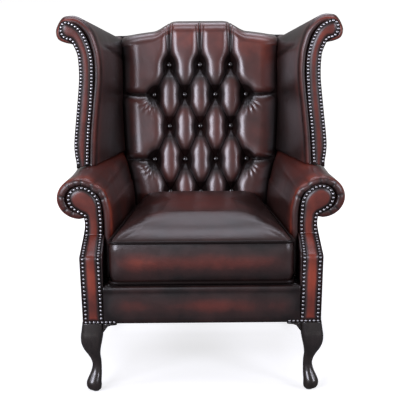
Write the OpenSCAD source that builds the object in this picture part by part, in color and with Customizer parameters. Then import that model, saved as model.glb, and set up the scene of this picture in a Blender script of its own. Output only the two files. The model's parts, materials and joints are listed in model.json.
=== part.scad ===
// Wingback armchair with a buttoned back, scrolled wings and arms, studded facings,
// a loose piped seat cushion, cabriole front legs and raked rear legs.
// The front faces -Y, Z is up, and left and right are as seen from the front.

/* [Overall] */
// Height of the wing scrolls above the floor
overall_h = 1080; // [1040:1:1120]
// Width across the wing scrolls
overall_w = 866; // [850:1:884]
// Height of the upholstery's lower edge above the floor
body_z = 215; // [195:1:235]
// Width across the outside arm panels at the front
front_w = 694; // [690:1:700]
// Width across the outside panels at the back
rear_w = 630; // [624:1:636]
// Lean of the back from upright, in degrees
rake = 11; // [8:0.5:13]

/* [Seat] */
// Distance from the front rail's face to the face of the back
seat_d = 530; // [510:1:550]
// Height of the platform that the cushion rests on
deck_z = 332; // [320:1:340]
// Thickness of the platform's padding
deck_t = 29; // [20:1:29]
// Thickness of the platform's cover
deck_cover_t = 2; // [1:0.5:4]

/* [Cushion] */
// Half width of the cushion at its front
cushion_front_x = 268; // [255:1:269]
// Half width of the cushion at its back
cushion_rear_x = 216; // [200:1:217]
// How far the cushion stands forward of the front rail
cushion_overhang = 8; // [4:1:14]
// Space left between the cushion and the back
cushion_back_gap = 13; // [12:1:24]
// Height of the cushion's boxing between its pipings
boxing_h = 118; // [100:1:126]
// Rise of the cushion's crown above its upper piping
crown_h = 50; // [20:1:60]
// How far the boxing is drawn in between the pipings
boxing_in = 3; // [1:0.5:5]
// How far the sides pull in between the corners
side_bow = 5; // [0:0.5:8]
// Radius of the cushion's corners in plan
cushion_corner_r = 26; // [20:1:40]
// Radius of the piping
piping_r = 4.5; // [3:0.25:5]

/* [Arms] */
// Height of the arm rolls above the floor
arm_h = 625; // [610:1:640]
// Radius of the arm roll at its front
roll_r = 62; // [60:0.5:64]
// Radius of the arm roll at its back
roll_rear_r = 38; // [36:0.5:42]
// Distance from the chair's middle to the roll's axis at its front
roll_x = 352; // [349:0.5:354]
// Drop of the roll's top from front to back
roll_fall = 7; // [0:1:12]
// How far the arm scroll stands back from the front rail's face
arm_set = 90; // [80:1:105]
// Height at which the arm's facing starts to slope back
knee_z = 412; // [400:1:420]
// Height at which the sloping part of the facing ends
neck_z = 457; // [450:1:465]
// Thickness of the facings on arms and wings
facing_t = 6; // [4:0.5:8]
// Thickness of the inside arm's padding
arm_pad_t = 39; // [34:1:40]

/* [Wings] */
// Distance from the front rail's face to the wing's face
wing_set = 300; // [285:1:320]
// Thickness of the wing's padding
wing_pad_t = 30; // [24:1:32]
// Depth of the wooden wing board
wing_board_t = 27; // [20:1:32]

/* [Back] */
// How far the back's hump lies below the wing scrolls
hump_drop = 43; // [30:1:60]
// How far the back's shoulders lie below its hump
shoulder_drop = 47; // [37:1:57]
// Half width of the hump where its shoulders start
hump_x = 76; // [60:1:90]
// Half width at which the shoulders level out
shoulder_x = 156; // [140:1:175]
// Thickness of the back's padding
back_pad_t = 62; // [55:1:66]
// Depth of the back's frame behind the padding
back_frame_t = 58; // [50:1:64]
// How far the top row of buttons lies below the hump
button_drop = 135; // [127:1:142]
// Height from the lowest to the top row of buttons
button_field_h = 410; // [400:1:420]
// Distance between buttons in a row
button_pitch = 101; // [94:0.5:104]
// Radius of a button
button_r = 8; // [6:0.25:9]
// Rise of the padding between the buttons
puff_h = 26; // [16:1:30]
// Extra depth of the padding at a button
dimple_d = 11; // [6:1:14]

/* [Frame and legs] */
// Thickness of the frame's rails
rail_t = 28; // [24:1:30]
// Thickness of the outside covers
cover_t = 4.5; // [3:0.5:5]
// Half width of the leg at its top
leg_top_r = 30; // [27:0.5:32]
// Half width of the leg at its knee
leg_knee_r = 32; // [30:0.5:34]
// Half width of the leg at its ankle
leg_ankle_r = 13.5; // [11:0.5:16]
// Half width of the leg's pad foot
leg_foot_r = 22; // [19:0.5:24]
// Half width of a rear leg at its top
rear_leg_top_r = 22; // [19:0.5:24]
// Half width of a rear leg at its foot
rear_leg_foot_r = 15; // [12:0.5:18]
// How far a rear foot stands behind the leg's top
rear_leg_rake = 62; // [45:1:75]
// Thickness of the glides under the feet
glide_t = 3; // [2:0.5:5]
// Radius of the glides under the feet
glide_r = 9; // [7:0.5:11]

/* [Nails] */
// Radius of a nail's head
nail_r = 4.75; // [4:0.05:5]
// Height of a nail's head
nail_h = 2.6; // [2:0.1:3.5]
// Distance between the arm's nails
arm_nail_pitch = 11.7; // [10.5:0.1:13]
// Distance between the wing's nails
wing_nail_pitch = 10.4; // [10.2:0.1:13]
// Distance from the nails to a facing's edge
nail_margin = 6; // [5:0.25:7]

/* [Hidden] */

LEATHER = [0.32, 0.09, 0.07];
DARK_LEATHER = [0.14, 0.05, 0.045];
STAINED_WOOD = [0.10, 0.09, 0.085];
FRAME_WOOD = [0.70, 0.55, 0.36];
NICKEL = [0.62, 0.62, 0.60];
CLOTH = [0.12, 0.12, 0.12];
JUTE = [0.62, 0.50, 0.32];

// Clearance between neighbouring pieces, and the overrun of a cut
seat_gap = 0.4;
overrun = 2;
round_fn = 24;
head_fn = 5;
button_fn = 8;
web_t = 1.6;

// The back's heights follow the wing scrolls
hump_h = overall_h - hump_drop;
shoulder_h = hump_h - shoulder_drop;
button_top_z = hump_h - button_drop;

// The back's planes: upright below the bend, leaning above it
bend_up = 123;
bend_z = deck_z + bend_up;
lean = tan(rake);
function back_y(z) = seat_d + max(0, z - bend_z) * lean;
function frame_y(z) = back_y(z) + back_pad_t + web_t;
cover_gap = 0.6;
back_cover_t = cover_t;
function cover_y(z) = frame_y(z) + back_frame_t + cover_gap;
function outer_y(z) = cover_y(z) + back_cover_t;

// The origin lies under the middle of the overall box
knee_in_share = 0.867;
knee_reach = leg_knee_r - knee_in_share * leg_top_r;
front_reach = max(cushion_overhang, knee_reach);
back_reach = outer_y(hump_h);
front_y = -(back_reach - front_reach) / 2;
module from_front() {
    translate([0, front_y, 0])
        children();
}
module other_side() {
    mirror([1, 0, 0])
        children();
}

// Geometry helpers
function lerp(a, b, t) = a + (b - a) * t;
function sum_of(list, i = 0) = i == len(list) - 1 ? list[i] : list[i] + sum_of(list, i + 1);
function centre_of(ring) = sum_of(ring) / len(ring);
function turn_of(ring) =
    sum_of([for (i = [0:len(ring) - 1]) cross(ring[i], ring[(i + 1) % len(ring)])]);
function spline(a, b, c, d, t) =
    b + (c - a) * t / 2 + (2 * a - 5 * b + 4 * c - d) * t * t / 2
    + (3 * (b - c) + d - a) * t * t * t / 2;
// An open curve through its control points
function smooth(p, steps) = [
    for (i = [0:len(p) - 2], k = [0:steps - 1])
        spline(p[max(0, i - 1)], p[i], p[i + 1], p[min(len(p) - 1, i + 2)], k / steps),
    p[len(p) - 1]
];
function normal_at(p, i) =
    let (a = p[max(0, i - 1)], b = p[min(len(p) - 1, i + 1)], d = (b - a) / norm(b - a))
    [d[1], -d[0]];
// An open path moved sideways, to its right as it runs
function beside(p, by) = [for (i = [0:len(p) - 1]) p[i] + normal_at(p, i) * by];
function lengths(p) = [
    for (i = 0, s = 0; i < len(p); s = s + (i < len(p) - 1 ? norm(p[i + 1] - p[i]) : 0), i = i + 1) s
];
function walk_to(p, s, at) =
    let (i = max([for (k = [0:len(p) - 2]) if (s[k] <= at) k]))
    lerp(p[i], p[i + 1], (at - s[i]) / (s[i + 1] - s[i]));
// Evenly spaced places along a path
function places(p, pitch) =
    let (s = lengths(p), total = s[len(s) - 1], n = floor(total / pitch))
    [for (k = [0:n]) walk_to(p, s, min(k * total / n, total))];

// A closed solid through rings of as many points each, capped at both ends.
// With folds, each four-sided patch is split along its deeper diagonal, and with fan
// the caps in that list, 0 or 1, are split from their middle
module skin(rings, folds = false, fan = []) {
    n = len(rings[0]);
    last = len(rings) - 1;
    along = centre_of(rings[last]) - centre_of(rings[0]);
    outward = turn_of(rings[0]) * along > 0;
    sides = [
        for (i = [0:last - 1], j = [0:n - 1])
            let (k = (j + 1) % n, a = i * n + j, b = i * n + k, c = a + n, d = b + n,
                split = folds && rings[i][k][1] + rings[i + 1][j][1]
                    > rings[i][j][1] + rings[i + 1][k][1])
            each split ? (outward ? [[a, c, b], [b, c, d]] : [[a, b, c], [b, d, c]])
                : (outward ? [[a, c, d], [a, d, b]] : [[a, d, c], [a, b, d]])
    ];
    caps = [for (e = [0, 1]) let (from = e * last * n, turned = outward == (e == 1),
            middle = (last + 1) * n + e)
        each len([for (f = fan) if (f == e) f]) > 0
            ? [for (j = [0:n - 1]) let (a = from + j, b = from + (j + 1) % n)
                turned ? [b, a, middle] : [a, b, middle]]
            : [[for (j = [0:n - 1]) from + (turned ? n - 1 - j : j)]]];
    polyhedron([for (r = rings) each r, centre_of(rings[0]), centre_of(rings[last])],
        concat(sides, caps));
}
// A tube that closes on itself round the middle
module closed_tube(rings) {
    n = len(rings[0]);
    m = len(rings);
    faces = [
        for (i = [0:m - 1], j = [0:n - 1])
            let (k = (j + 1) % n, i2 = (i + 1) % m)
            each [[i * n + j, i * n + k, i2 * n + k], [i * n + j, i2 * n + k, i2 * n + j]]
    ];
    polyhedron([for (r = rings) each r], faces);
}
// A side view drawn in Y and Z, and thickened along X from x0 to x1
module side_plate(points, x0, x1) {
    translate([x0, 0, 0])
        rotate([90, 0, 90])
            linear_extrude(x1 - x0)
                polygon(points);
}
// A front view drawn in X and Z, and thickened along Y from y0 to y1
module front_plate(points, y0, y1) {
    translate([0, y1, 0])
        rotate([90, 0, 0])
            linear_extrude(y1 - y0)
                polygon(points);
}
// A plan drawn in X and Y, and thickened from z0 to z1
module flat_plate(points, z0, z1) {
    translate([0, 0, z0])
        linear_extrude(z1 - z0)
            polygon(points);
}

// Arm sections, right side: the inside arm, the roll and the outside panel
half_front = front_w / 2;
half_rear = rear_w / 2;
arm_y = arm_set + facing_t + seat_gap;
roll_z = arm_h - roll_r;
roll_rear_z = arm_h - roll_fall - roll_rear_r;
roll_rear_x = half_rear + roll_rear_r - 4 * seat_gap;
side_clearance = 2.5;
arm_in_x = lerp(cushion_front_x, cushion_rear_x, (arm_y + cushion_overhang)
    / (seat_d - cushion_back_gap + cushion_overhang)) + side_clearance;
cushion_taper = (cushion_front_x - cushion_rear_x)
    / (seat_d - cushion_back_gap + cushion_overhang);
arm_in_rear_x = cushion_rear_x + side_clearance - cushion_taper * (back_pad_t + cushion_back_gap);
arm_low_z = deck_z - deck_t + seat_gap;
swell_z = arm_h - 2 * roll_r;
lip_a = 140;
roll_fit = 1.3;
roll_fit_a = 12;
fit_steps = 4;
// How far the inside arm swells from its foot up to the roll, at its front and its back
arm_swell_shares = [[0, 0], [0.16, 0.03], [0.33, 0.10], [0.53, 0.25], [0.72, 0.52], [0.85, 0.86]];
rear_swell_shares = [[0, 0.15], [0.16, 0.21], [0.33, 0.27], [0.55, 0.33], [0.72, 0.50], [0.84, 0.80]];
function arc_at(c, r, a) = [c[0] + r * cos(a), c[1] + r * sin(a)];
function arm_section(x0, c, r, shares) = concat(
    [[x0, arm_low_z]],
    [for (s = shares) [lerp(x0, c[0] - r * cos(180 - lip_a), s[1]), lerp(swell_z, c[1] + r, s[0])]],
    [for (k = [0:fit_steps]) arc_at(c, r + roll_fit, lip_a + k * roll_fit_a)],
    [[x0 + arm_pad_t, swell_z + arm_pad_t / 4], [x0 + arm_pad_t, arm_low_z]]
);
function arm_end_y(z) = seat_d + (z - bend_z) * lean + back_pad_t - seat_gap;
function arm_share(y, z) = (y - arm_y) / (arm_end_y(z) - arm_y);
function roll_end_y(z) = cover_y(z) - seat_gap;
function roll_share(y) = (y - arm_y) / (roll_end_y(roll_z) - arm_y);
function roll_at(y) = let (t = roll_share(y))
    [lerp(roll_x, roll_rear_x, t), lerp(roll_z, roll_rear_z, t), lerp(roll_r, roll_rear_r, t)];
arm_front = arm_section(arm_in_x, [roll_x, roll_z], roll_r, arm_swell_shares);
roll_mid = roll_at(arm_end_y(roll_z));
arm_rear = arm_section(arm_in_rear_x, [roll_mid[0], roll_mid[1]], roll_mid[2],
    rear_swell_shares);
function roll_half_h(c, x) = sqrt(max(0, c[2] * c[2] - (x - c[0]) * (x - c[0])));
function roll_top(y, x) = let (c = roll_at(y)) c[1] + roll_half_h(c, x);
function roll_under(y, x) = let (c = roll_at(y)) c[1] - roll_half_h(c, x);
n_swell = len(arm_swell_shares);
function arm_top(y, x) = let (t = arm_share(y, arm_h - roll_fall), c = roll_at(y),
        slope = [for (i = [1:n_swell + 1]) lerp(arm_front[i], arm_rear[i], t)])
    max(x < c[0] - c[2] ? 0 : roll_top(y, x), lookup(x, slope));
function arm_inner_x(y, z) = let (t = arm_share(y, z),
        p = [for (i = [0:n_swell]) lerp(arm_front[i], arm_rear[i], t)])
    lookup(z, [for (q = p) [q[1], q[0]]]);
function panel_x(y) = lerp(half_front, half_rear, y / cover_y(0));

// Wing sections, right side, drawn from the inner foot over the scroll to the outer foot,
// as shares of the half width and of the height from the arm to the top
half_w = overall_w / 2;
wing_edge_shares = [[0.741, -0.1], [0.727, 0.17], [0.707, 0.37], [0.684, 0.574], [0.686, 0.725],
    [0.707, 0.824], [0.74, 0.905], [0.80, 0.968], [0.85, 0.995], [0.897, 1], [0.955, 0.984],
    [1, 0.905], [0.985, 0.845], [0.93, 0.82]];
wing_outer_shares = [[0.885, 0.81], [0.855, 0.755], [0.841, 0.63], [0.848, 0.505],
    [0.871, 0.338], [0.887, 0.182], [0.878, -0.02]];
wing_nail_shares = [[0.866, 0.018], [0.878, 0.143], [0.852, 0.382], [0.831, 0.582], [0.834, 0.719],
    [0.85, 0.782], [0.885, 0.842], [0.931, 0.857], [0.958, 0.892], [0.956, 0.934], [0.933, 0.956],
    [0.894, 0.949], [0.845, 0.919], [0.808, 0.87], [0.776, 0.796], [0.757, 0.703],
    [0.757, 0.582], [0.771, 0.402], [0.79, 0.242], [0.806, 0.018]];
wing_return_shares = [0.78, 0.7, 0.574, 0.37, 0.17, 0.02];
wing_rear_x = 250;
wing_rear_shares = [[0, 0.94], [0.45, 1], [1, 1]];
function wing_point(s) = [s[0] * half_w, lerp(arm_h, overall_h, s[1])];
wing_edge = smooth([for (s = wing_edge_shares) wing_point(s)], 2);
wing_outer = smooth([for (s = wing_outer_shares) wing_point(s)], 2);
wing_nail_path = smooth([for (s = wing_nail_shares) wing_point(s)], 4);
wing_y = wing_set + facing_t + seat_gap;
wing_turn_share = 0.86;
wing_fit = 0.8;
foot_fit = 2.5;
wing_under = wing_point([0.86, 0.813]);
top_roll_r = (half_rear - wing_rear_x) / 2;
top_roll_z = shoulder_h - top_roll_r;
n_edge = len(wing_edge);
n_slope = len([for (p = wing_edge) if (p[1] < lerp(arm_h, overall_h, wing_turn_share)) p]) - 3;
function wing_end_y(z) = back_y(z) + back_pad_t;
function z_share(z) = (z - arm_h) / (overall_h - arm_h);
function rear_wing_x(share) = wing_rear_x * lookup(share, wing_rear_shares);
function rear_wing_point(i) = i < n_slope
    ? let (s = z_share(wing_edge[i][1]) / wing_turn_share)
        [rear_wing_x(s), lerp(arm_h, top_roll_z, s)]
    : arc_at([wing_rear_x + top_roll_r, top_roll_z], top_roll_r,
        180 * (1 - (i - n_slope) / (n_edge - 1 - n_slope)));
wing_rear_edge = [for (i = [0:n_edge - 1]) rear_wing_point(i)];
function upward(points) = [for (q = points) [q[1], q[0]]];
wing_return = [for (s = wing_return_shares) let (z = lerp(arm_h, overall_h, s))
    [lookup(z, upward([for (i = [0:n_slope]) wing_edge[i]])) + wing_pad_t, z]];
wing_rear_return = [for (s = wing_return_shares) let (r = s / wing_turn_share)
    [rear_wing_x(r) + wing_pad_t, lerp(arm_h, top_roll_z, r)]];
function wing_line(t) = [for (i = [0:n_slope]) lerp(wing_edge[i], wing_rear_edge[i], t)];
function wing_share(y, z) = (y - wing_y) / (wing_end_y(z) - wing_y);
function wing_inner_x(y, z) = lookup(z, upward(wing_line(wing_share(y, z))));
function wing_foot_x(y) = wing_inner_x(y, arm_h - roll_fall);
// The wing's closed section at a share t of its depth
n_foot = 7;
function wing_section(t) = let (
        edge = [for (i = [1:n_edge - 1]) lerp(wing_edge[i], wing_rear_edge[i], t)],
        back = concat([lerp(wing_under, [half_rear - 2 * cover_t, top_roll_z], t)],
            [for (i = [0:len(wing_return) - 1]) lerp(wing_return[i], wing_rear_return[i], t)]),
        y0 = lerp(wing_y, wing_end_y(arm_h - roll_fall), t),
        x0 = wing_foot_x(y0),
        foot = [for (k = [n_foot:-1:0]) let (x = x0 + wing_pad_t * k / n_foot)
            [x, arm_top(y0, max(x, arm_inner_x(y0, roll_z))) + foot_fit]])
    [for (p = concat(edge, back, foot)) [p[0], lerp(wing_y, wing_end_y(p[1]), t), p[1]]];
// The outside cover runs straight to the wing's back end, and from there straight on
function cover_foot(y, x) = y > wing_end_y(arm_h) ? roll_top(y, x) : arm_top(y, x);
function wing_cover_section(t) = let (n = len(wing_outer),
        outer = [for (i = [0:n - 1])
            let (f = wing_outer[i], q = (n - 1 - i) / (n - 1), foot = i == n - 1,
                r = [half_rear, lerp(arm_h - roll_fall, top_roll_z - wing_fit, q)],
                z0 = foot ? roll_rear_z : lerp(f[1], r[1], t),
                y = lerp(wing_y, cover_y(z0) - seat_gap, t),
                s = min(1, (y - wing_y) / (wing_end_y(z0) - wing_y)),
                p = lerp([f[0], f[1] - wing_fit], r, s))
            [p[0], y, foot ? cover_foot(y, p[0]) + foot_fit : p[1]]],
        last = outer[n - 1],
        step = cover_foot(last[1], last[0]) - cover_foot(last[1], last[0] - cover_t))
    concat(outer, [for (i = [n - 1:-1:0]) outer[i] - [cover_t, 0, i == n - 1 ? step : 0]]);
stations = [0, 0.14, 0.28, 0.42, 0.56, 0.7, 0.85, 1];
cover_stations = [0, 0.14, 0.28, 0.42, 0.56, 0.67, 0.76, 0.852, 0.87, 1];

// The outline of the back seen from the front
function hump_z(x) = let (a = abs(x),
        t = min(1, max(0, (a - hump_x) / (shoulder_x - hump_x))),
        level = lerp(shoulder_h, hump_h, 0.28))
    a < shoulder_x ? lerp(hump_h, level, (1 - cos(180 * t)) / 2)
        : lerp(level, shoulder_h, (a - shoulder_x) / (wing_rear_x - shoulder_x));

// Arm facing: the outer nails run up, round the scroll and down the inner side
nail_foot_in = 2 * nail_margin;
nail_knee_in = nail_margin + 1;
strip_w = 44.5;
hem_up = 4;
arm_nail_shares = [[-0.274, -1.71], [-0.31, -1.34], [-0.29, -1.016], [-0.226, -0.758],
    [0.065, -0.597], [0.387, -0.355], [0.532, 0.032], [0.387, 0.371], [0.03, 0.548],
    [-0.355, 0.468], [-0.71, 0.16], [-0.887, -0.242], [-0.919, -0.694], [-0.952, -1.177],
    [-0.936, -1.71]];
nail_foot_z = body_z + hem_up;
arm_nail_path = concat(
    [[half_front - nail_foot_in, nail_foot_z + arm_nail_pitch], [half_front - nail_knee_in, knee_z]],
    smooth([for (s = arm_nail_shares) [roll_x, roll_z] + s * roll_r], 5),
    [[half_front - nail_knee_in - strip_w, knee_z],
        [half_front - nail_foot_in - strip_w, nail_foot_z + arm_nail_pitch]]);
face_a = atan2(arm_set, neck_z - knee_z);
function face_y(z) = z <= knee_z ? 0
    : z >= neck_z ? arm_set : arm_set * (z - knee_z) / (neck_z - knee_z);
function face_line(off) = [[off, body_z], [off, knee_z - off * tan(face_a / 2)],
    [arm_set + off, neck_z - off * tan(face_a / 2)], [arm_set + off, arm_h + overrun]];
function reversed(p) = [for (i = [len(p) - 1:-1:0]) p[i]];
facing_in_x = half_front - nail_foot_in - strip_w - nail_margin;

module nail(p, tilt = 0) {
    translate(p)
        rotate([90 - tilt, 0, 0])
            cylinder(h = nail_h, r = nail_r, $fn = head_fn);
}

// Arms
module arm_roll() {
    t_edge = 0.016;
    gather = 5;
    rings = [for (s = [[0, gather], [t_edge, 0], [1, 0]])
        let (c = lerp([roll_x, roll_z], [roll_rear_x, roll_rear_z], s[0]),
            r = lerp(roll_r, roll_rear_r, s[0]) - s[1])
        [for (a = [0:15:345]) let (p = arc_at(c, r, a))
            [p[0], lerp(arm_y, roll_end_y(p[1]), s[0]), p[1]]]];
    color(LEATHER)
        from_front()
            skin(rings);
}
module inside_arm() {
    color(LEATHER)
        from_front()
            skin([for (t = stations) [for (i = [0:len(arm_front) - 1])
                let (p = lerp(arm_front[i], arm_rear[i], t))
                [p[0], lerp(arm_y, arm_end_y(p[1]), t), p[1]]]]);
}
panel_a = atan((half_front - half_rear) / cover_y(0));
module outside_arm() {
    under_y = cover_y(roll_rear_z - roll_rear_r) - wing_fit;
    under = [for (k = [0:8]) let (y = lerp(arm_y, under_y, k / 8))
        [y / cos(panel_a), roll_under(y, panel_x(y)) - wing_fit]];
    end_u = cover_y(0) / cos(panel_a) - wing_fit;
    front = face_line(facing_t + seat_gap);
    points = concat([front[0], front[1], front[2]], under,
        [[end_u + cover_y(under[8][1]) - cover_y(0), under[8][1]], [end_u, bend_z], [end_u, body_z]]);
    color(LEATHER)
        from_front()
            translate([half_front, 0, 0])
                rotate([0, 0, panel_a])
                    side_plate(points, -cover_t, 0);
}
module arm_facing() {
    strip = concat(face_line(0), reversed(face_line(facing_t)));
    edge = beside(arm_nail_path, nail_margin);
    n = len(edge);
    color(LEATHER)
        from_front()
            intersection() {
                side_plate(strip, facing_in_x - arm_set, half_w);
                front_plate(concat([[edge[0][0], body_z]], edge, [[edge[n - 1][0], body_z]]),
                    -overrun, arm_set + facing_t + overrun);
            }
}
// A nail's height, moved off the fold where the sloping part of the facing ends
function off_fold(z) = z > neck_z - nail_r * cos(face_a) && z < neck_z
    ? neck_z - nail_r * cos(face_a)
    : z >= neck_z && z < neck_z + nail_r ? neck_z + nail_r : z;
module arm_nails() {
    path = [for (p = arm_nail_path) [p[0], face_y(p[1]), p[1]]];
    hem_end = half_front - nail_foot_in - 7 * arm_nail_pitch;
    color(NICKEL)
        from_front() {
            for (p = places(path, arm_nail_pitch))
                let (z = off_fold(p[2]))
                nail([p[0], face_y(z), z], z > knee_z && z < neck_z ? face_a : 0);
            for (x = [half_front - nail_foot_in:-arm_nail_pitch:hem_end])
                nail([x, 0, nail_foot_z]);
        }
}

// Wings
module inside_wing() {
    top_end = [for (a = [0:20:180]) arc_at([wing_rear_x + top_roll_r, top_roll_z], top_roll_r, a)];
    color(LEATHER)
        from_front() {
            skin([for (t = stations) wing_section(t)]);
            skin([for (t = [0, 1]) [for (p = top_end) [p[0],
                lerp(wing_end_y(p[1]) + seat_gap, cover_y(p[1]) - seat_gap, t), p[1]]]]);
        }
}
module outside_wing() {
    color(LEATHER)
        from_front()
            skin([for (t = cover_stations) wing_cover_section(t)]);
}
module wing_facing() {
    edge = beside(wing_nail_path, nail_margin);
    color(LEATHER)
        from_front()
            front_plate(edge, wing_set, wing_set + facing_t);
}
module wing_nails() {
    path = [for (p = wing_nail_path) [p[0], wing_set, p[1]]];
    color(NICKEL)
        from_front()
            for (p = places(path, wing_nail_pitch))
                nail(p);
}

// Back
button_row_shares = [0, 0.235, 0.483, 0.744, 1];
function row_z(k) = button_top_z - button_field_h * button_row_shares[k];
row_table = [for (k = [4:-1:0]) [row_z(k), k]];
function row_of(z) = lookup(z, row_table);
side_fit = 1.6;
function back_edge_x(y, z) =
    let (w = wing_inner_x(y, z))
    (z < arm_h - roll_fall ? min(arm_inner_x(y, z), w) : w) - side_fit;
fold_k = 0.55;
edge_w = 34;
crease_d = 14;
function puff(x, z) = let (
        a = min(abs(x), 1.5 * button_pitch) / button_pitch,
        k = row_of(z),
        p = a + k / 2, q = a - k / 2)
    pow(abs(sin(180 * p) * sin(180 * q)), fold_k);
function dimple(x, z) = let (k = round(row_of(z)), shift = k % 2 == 0 ? 0 : 0.5,
        col = min(1.5, abs(round(x / button_pitch - shift) + shift)) * button_pitch,
        d = norm([abs(x) - col, z - row_z(k)]))
    exp(-pow(d / (1.6 * button_r), 2));
function back_face_y(x, z, half) = let (
        rise = min(1, max(0, (z - bend_z) / (row_z(4) - bend_z))),
        e = sin(90 * min(1, (half - abs(x)) / edge_w)) * rise)
    back_y(z) + crease_d - e * puff_h * puff(x, z) + dimple(x, z) * dimple_d;
back_low_z = deck_z - deck_t + seat_gap;
back_rows = concat([back_low_z, lerp(back_low_z, row_z(4), 0.6)],
    [for (k = [4:-1:1], j = [0:3]) lerp(row_z(k), row_z(k - 1), j / 4)],
    [row_z(0), row_z(0) + button_pitch / 4, row_z(0) + button_pitch / 2]);
function back_row(z) = let (half = back_edge_x(back_y(z) + crease_d, z),
        rear = back_edge_x(back_y(z) + back_pad_t, z))
    concat([[-rear, back_y(z) + back_pad_t, z], [-half, back_y(z) + crease_d, z]],
        [for (x = side_xs(half)) [x, back_face_y(x, z, half), z]],
        [[half, back_y(z) + crease_d, z], [rear, back_y(z) + back_pad_t, z]]);
side_steps = 3;
side_start = 1.6;
function side_xs(half) = concat(
    [for (i = [1:side_steps]) -lerp(half, side_start * button_pitch, i / (side_steps + 0.4))],
    [for (i = [-12:12]) i * button_pitch / 8],
    [for (i = [side_steps:-1:1]) lerp(half, side_start * button_pitch, i / (side_steps + 0.4))]);
// The top rolls over to the back along the hump
top_r = 30;
function back_top_row(a, z0) = let (row = back_row(z0), n = len(row))
    [for (i = [0:n - 1])
        let (x = row[i][0], top = hump_z(x) - seat_gap, zc = top - top_r,
            z = a >= 90 ? top : zc + top_r * sin(a),
            edge = i == 0 || i == n - 1,
            half = back_edge_x(back_y(zc) + crease_d, min(zc, top_roll_z)),
            face = back_face_y(x, max(z0, zc), half),
            rear_y = back_y(z) + back_pad_t,
            y = a > 90 ? rear_y : edge ? rear_y - (a == 90 ? overrun : 0)
                : face + back_y(z) - back_y(zc) + top_r * (1 - cos(a)))
        [x, y, z]];
module inside_back() {
    z0 = back_rows[len(back_rows) - 1];
    rings = concat([for (z = back_rows) back_row(z)],
        [for (a = [0, 35, 65, 90, 91]) back_top_row(a, z0)]);
    x1 = wing_rear_x - side_fit;
    color(LEATHER)
        from_front() {
            skin(rings, folds = true, fan = [0]);
            intersection() {
                side_plate(raked_strip(top_roll_z, hump_h, seat_gap - web_t,
                    web_t + back_frame_t), -x1, x1);
                front_plate(concat(crown_line(x1, 0), reversed(crown_line(x1, cover_t))), 0,
                    back_reach);
            }
        }
}
button_rise = 4;
button_stem_r = 1.5;
button_seat = 1.9;
module back_buttons() {
    stem = dimple_d * 0.85;
    color(DARK_LEATHER)
        from_front()
            for (k = [0:4], i = [-1.5:0.5:1.5])
                if (abs(i * 2) % 2 == k % 2)
                    translate([i * button_pitch, back_y(row_z(k)) + crease_d + dimple_d
                        - button_seat, row_z(k)])
                        rotate([90 - rake, 0, 0]) {
                            cylinder(h = stem + overrun, r = button_stem_r, $fn = head_fn);
                            translate([0, 0, stem])
                                cylinder(h = button_rise, r = button_r, $fn = button_fn);
                        }
}
crown_steps = 30;
function crown_line(x1, drop) = [for (i = [crown_steps:-1:-crown_steps])
    let (x = x1 * i / crown_steps) [x, hump_z(min(abs(x), wing_rear_x)) - drop]];
back_outline = concat(
    [[-half_rear, body_z], [half_rear, body_z], [half_rear, top_roll_z]],
    [for (a = [15:15:75]) arc_at([half_rear - top_roll_r, top_roll_z], top_roll_r, a)],
    crown_line(wing_rear_x + top_roll_r, 0),
    [for (a = [105:15:165]) arc_at([top_roll_r - half_rear, top_roll_z], top_roll_r, a)],
    [[-half_rear, top_roll_z]]);
function raked_strip(z0, z1, y_off, depth) = let (zs = z0 < bend_z && z1 > bend_z
        ? [z0, bend_z, z1] : [z0, z1])
    concat([for (z = zs) [frame_y(z) + y_off, z]],
        [for (z = reversed(zs)) [frame_y(z) + y_off + depth, z]]);
module outside_back() {
    color(LEATHER)
        from_front()
            intersection() {
                side_plate(raked_strip(body_z, hump_h + overrun, back_frame_t + cover_gap,
                    back_cover_t), -half_rear, half_rear);
                front_plate(back_outline, 0, back_reach + overrun);
            }
}
back_nail_pitch = 24;
module back_nails() {
    side = [[half_rear - nail_margin, outer_y(body_z), body_z + nail_margin],
        [half_rear - nail_margin, outer_y(bend_z), bend_z],
        [half_rear - nail_margin, outer_y(top_roll_z), top_roll_z]];
    color(NICKEL)
        from_front()
            for (p = places(side, back_nail_pitch), m = [0, 1])
                mirror([m, 0, 0])
                    translate(p)
                        rotate([p[2] > bend_z ? -90 - rake : -90, 0, 0])
                            cylinder(h = nail_h, r = nail_r, $fn = head_fn);
}

// Frame
rail_low_z = body_z;
rail_top_z = deck_z - deck_t - web_t - 2 * seat_gap;
post_d = 54;
post_y = facing_t + seat_gap;
post_in_x = arm_in_x + arm_pad_t + seat_gap;
post_out_x = panel_x(arm_y + rail_t) - cover_t - seat_gap;
post_top_z = roll_z - roll_r - seat_gap;
module arm_post() {
    line = face_line(post_y);
    points = [line[0], line[1], line[2], [arm_y, post_top_z], [arm_y + rail_t, post_top_z],
        [arm_y + rail_t, neck_z - rail_t], [post_y + post_d, knee_z - rail_t], [post_y + post_d, body_z]];
    cheek = [line[0], line[1], line[2] - [seat_gap, 0], [arm_y - seat_gap, arm_low_z],
        [post_y + post_d, arm_low_z], [post_y + post_d, body_z]];
    color(FRAME_WOOD)
        from_front() {
            side_plate(points, post_in_x, post_out_x);
            side_plate(cheek, facing_in_x + seat_gap, post_in_x);
        }
}
function rail_out_x(y) = panel_x(y) - cover_t - seat_gap;
module arm_rail() {
    y0 = arm_y + rail_t + seat_gap;
    y1 = frame_y(post_top_z) - seat_gap;
    y2 = frame_y(post_top_z - rail_t) - seat_gap;
    in0 = lerp(arm_in_x, arm_in_rear_x, arm_share(y0, post_top_z)) + arm_pad_t + seat_gap;
    in1 = lerp(arm_in_x, arm_in_rear_x, arm_share(y2, post_top_z)) + arm_pad_t + seat_gap;
    color(FRAME_WOOD)
        from_front()
            flat_plate([[in0, y0], [rail_out_x(y0), y0], [rail_out_x(y2), y2], [in1, y2]],
                post_top_z - rail_t, post_top_z);
}
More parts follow.
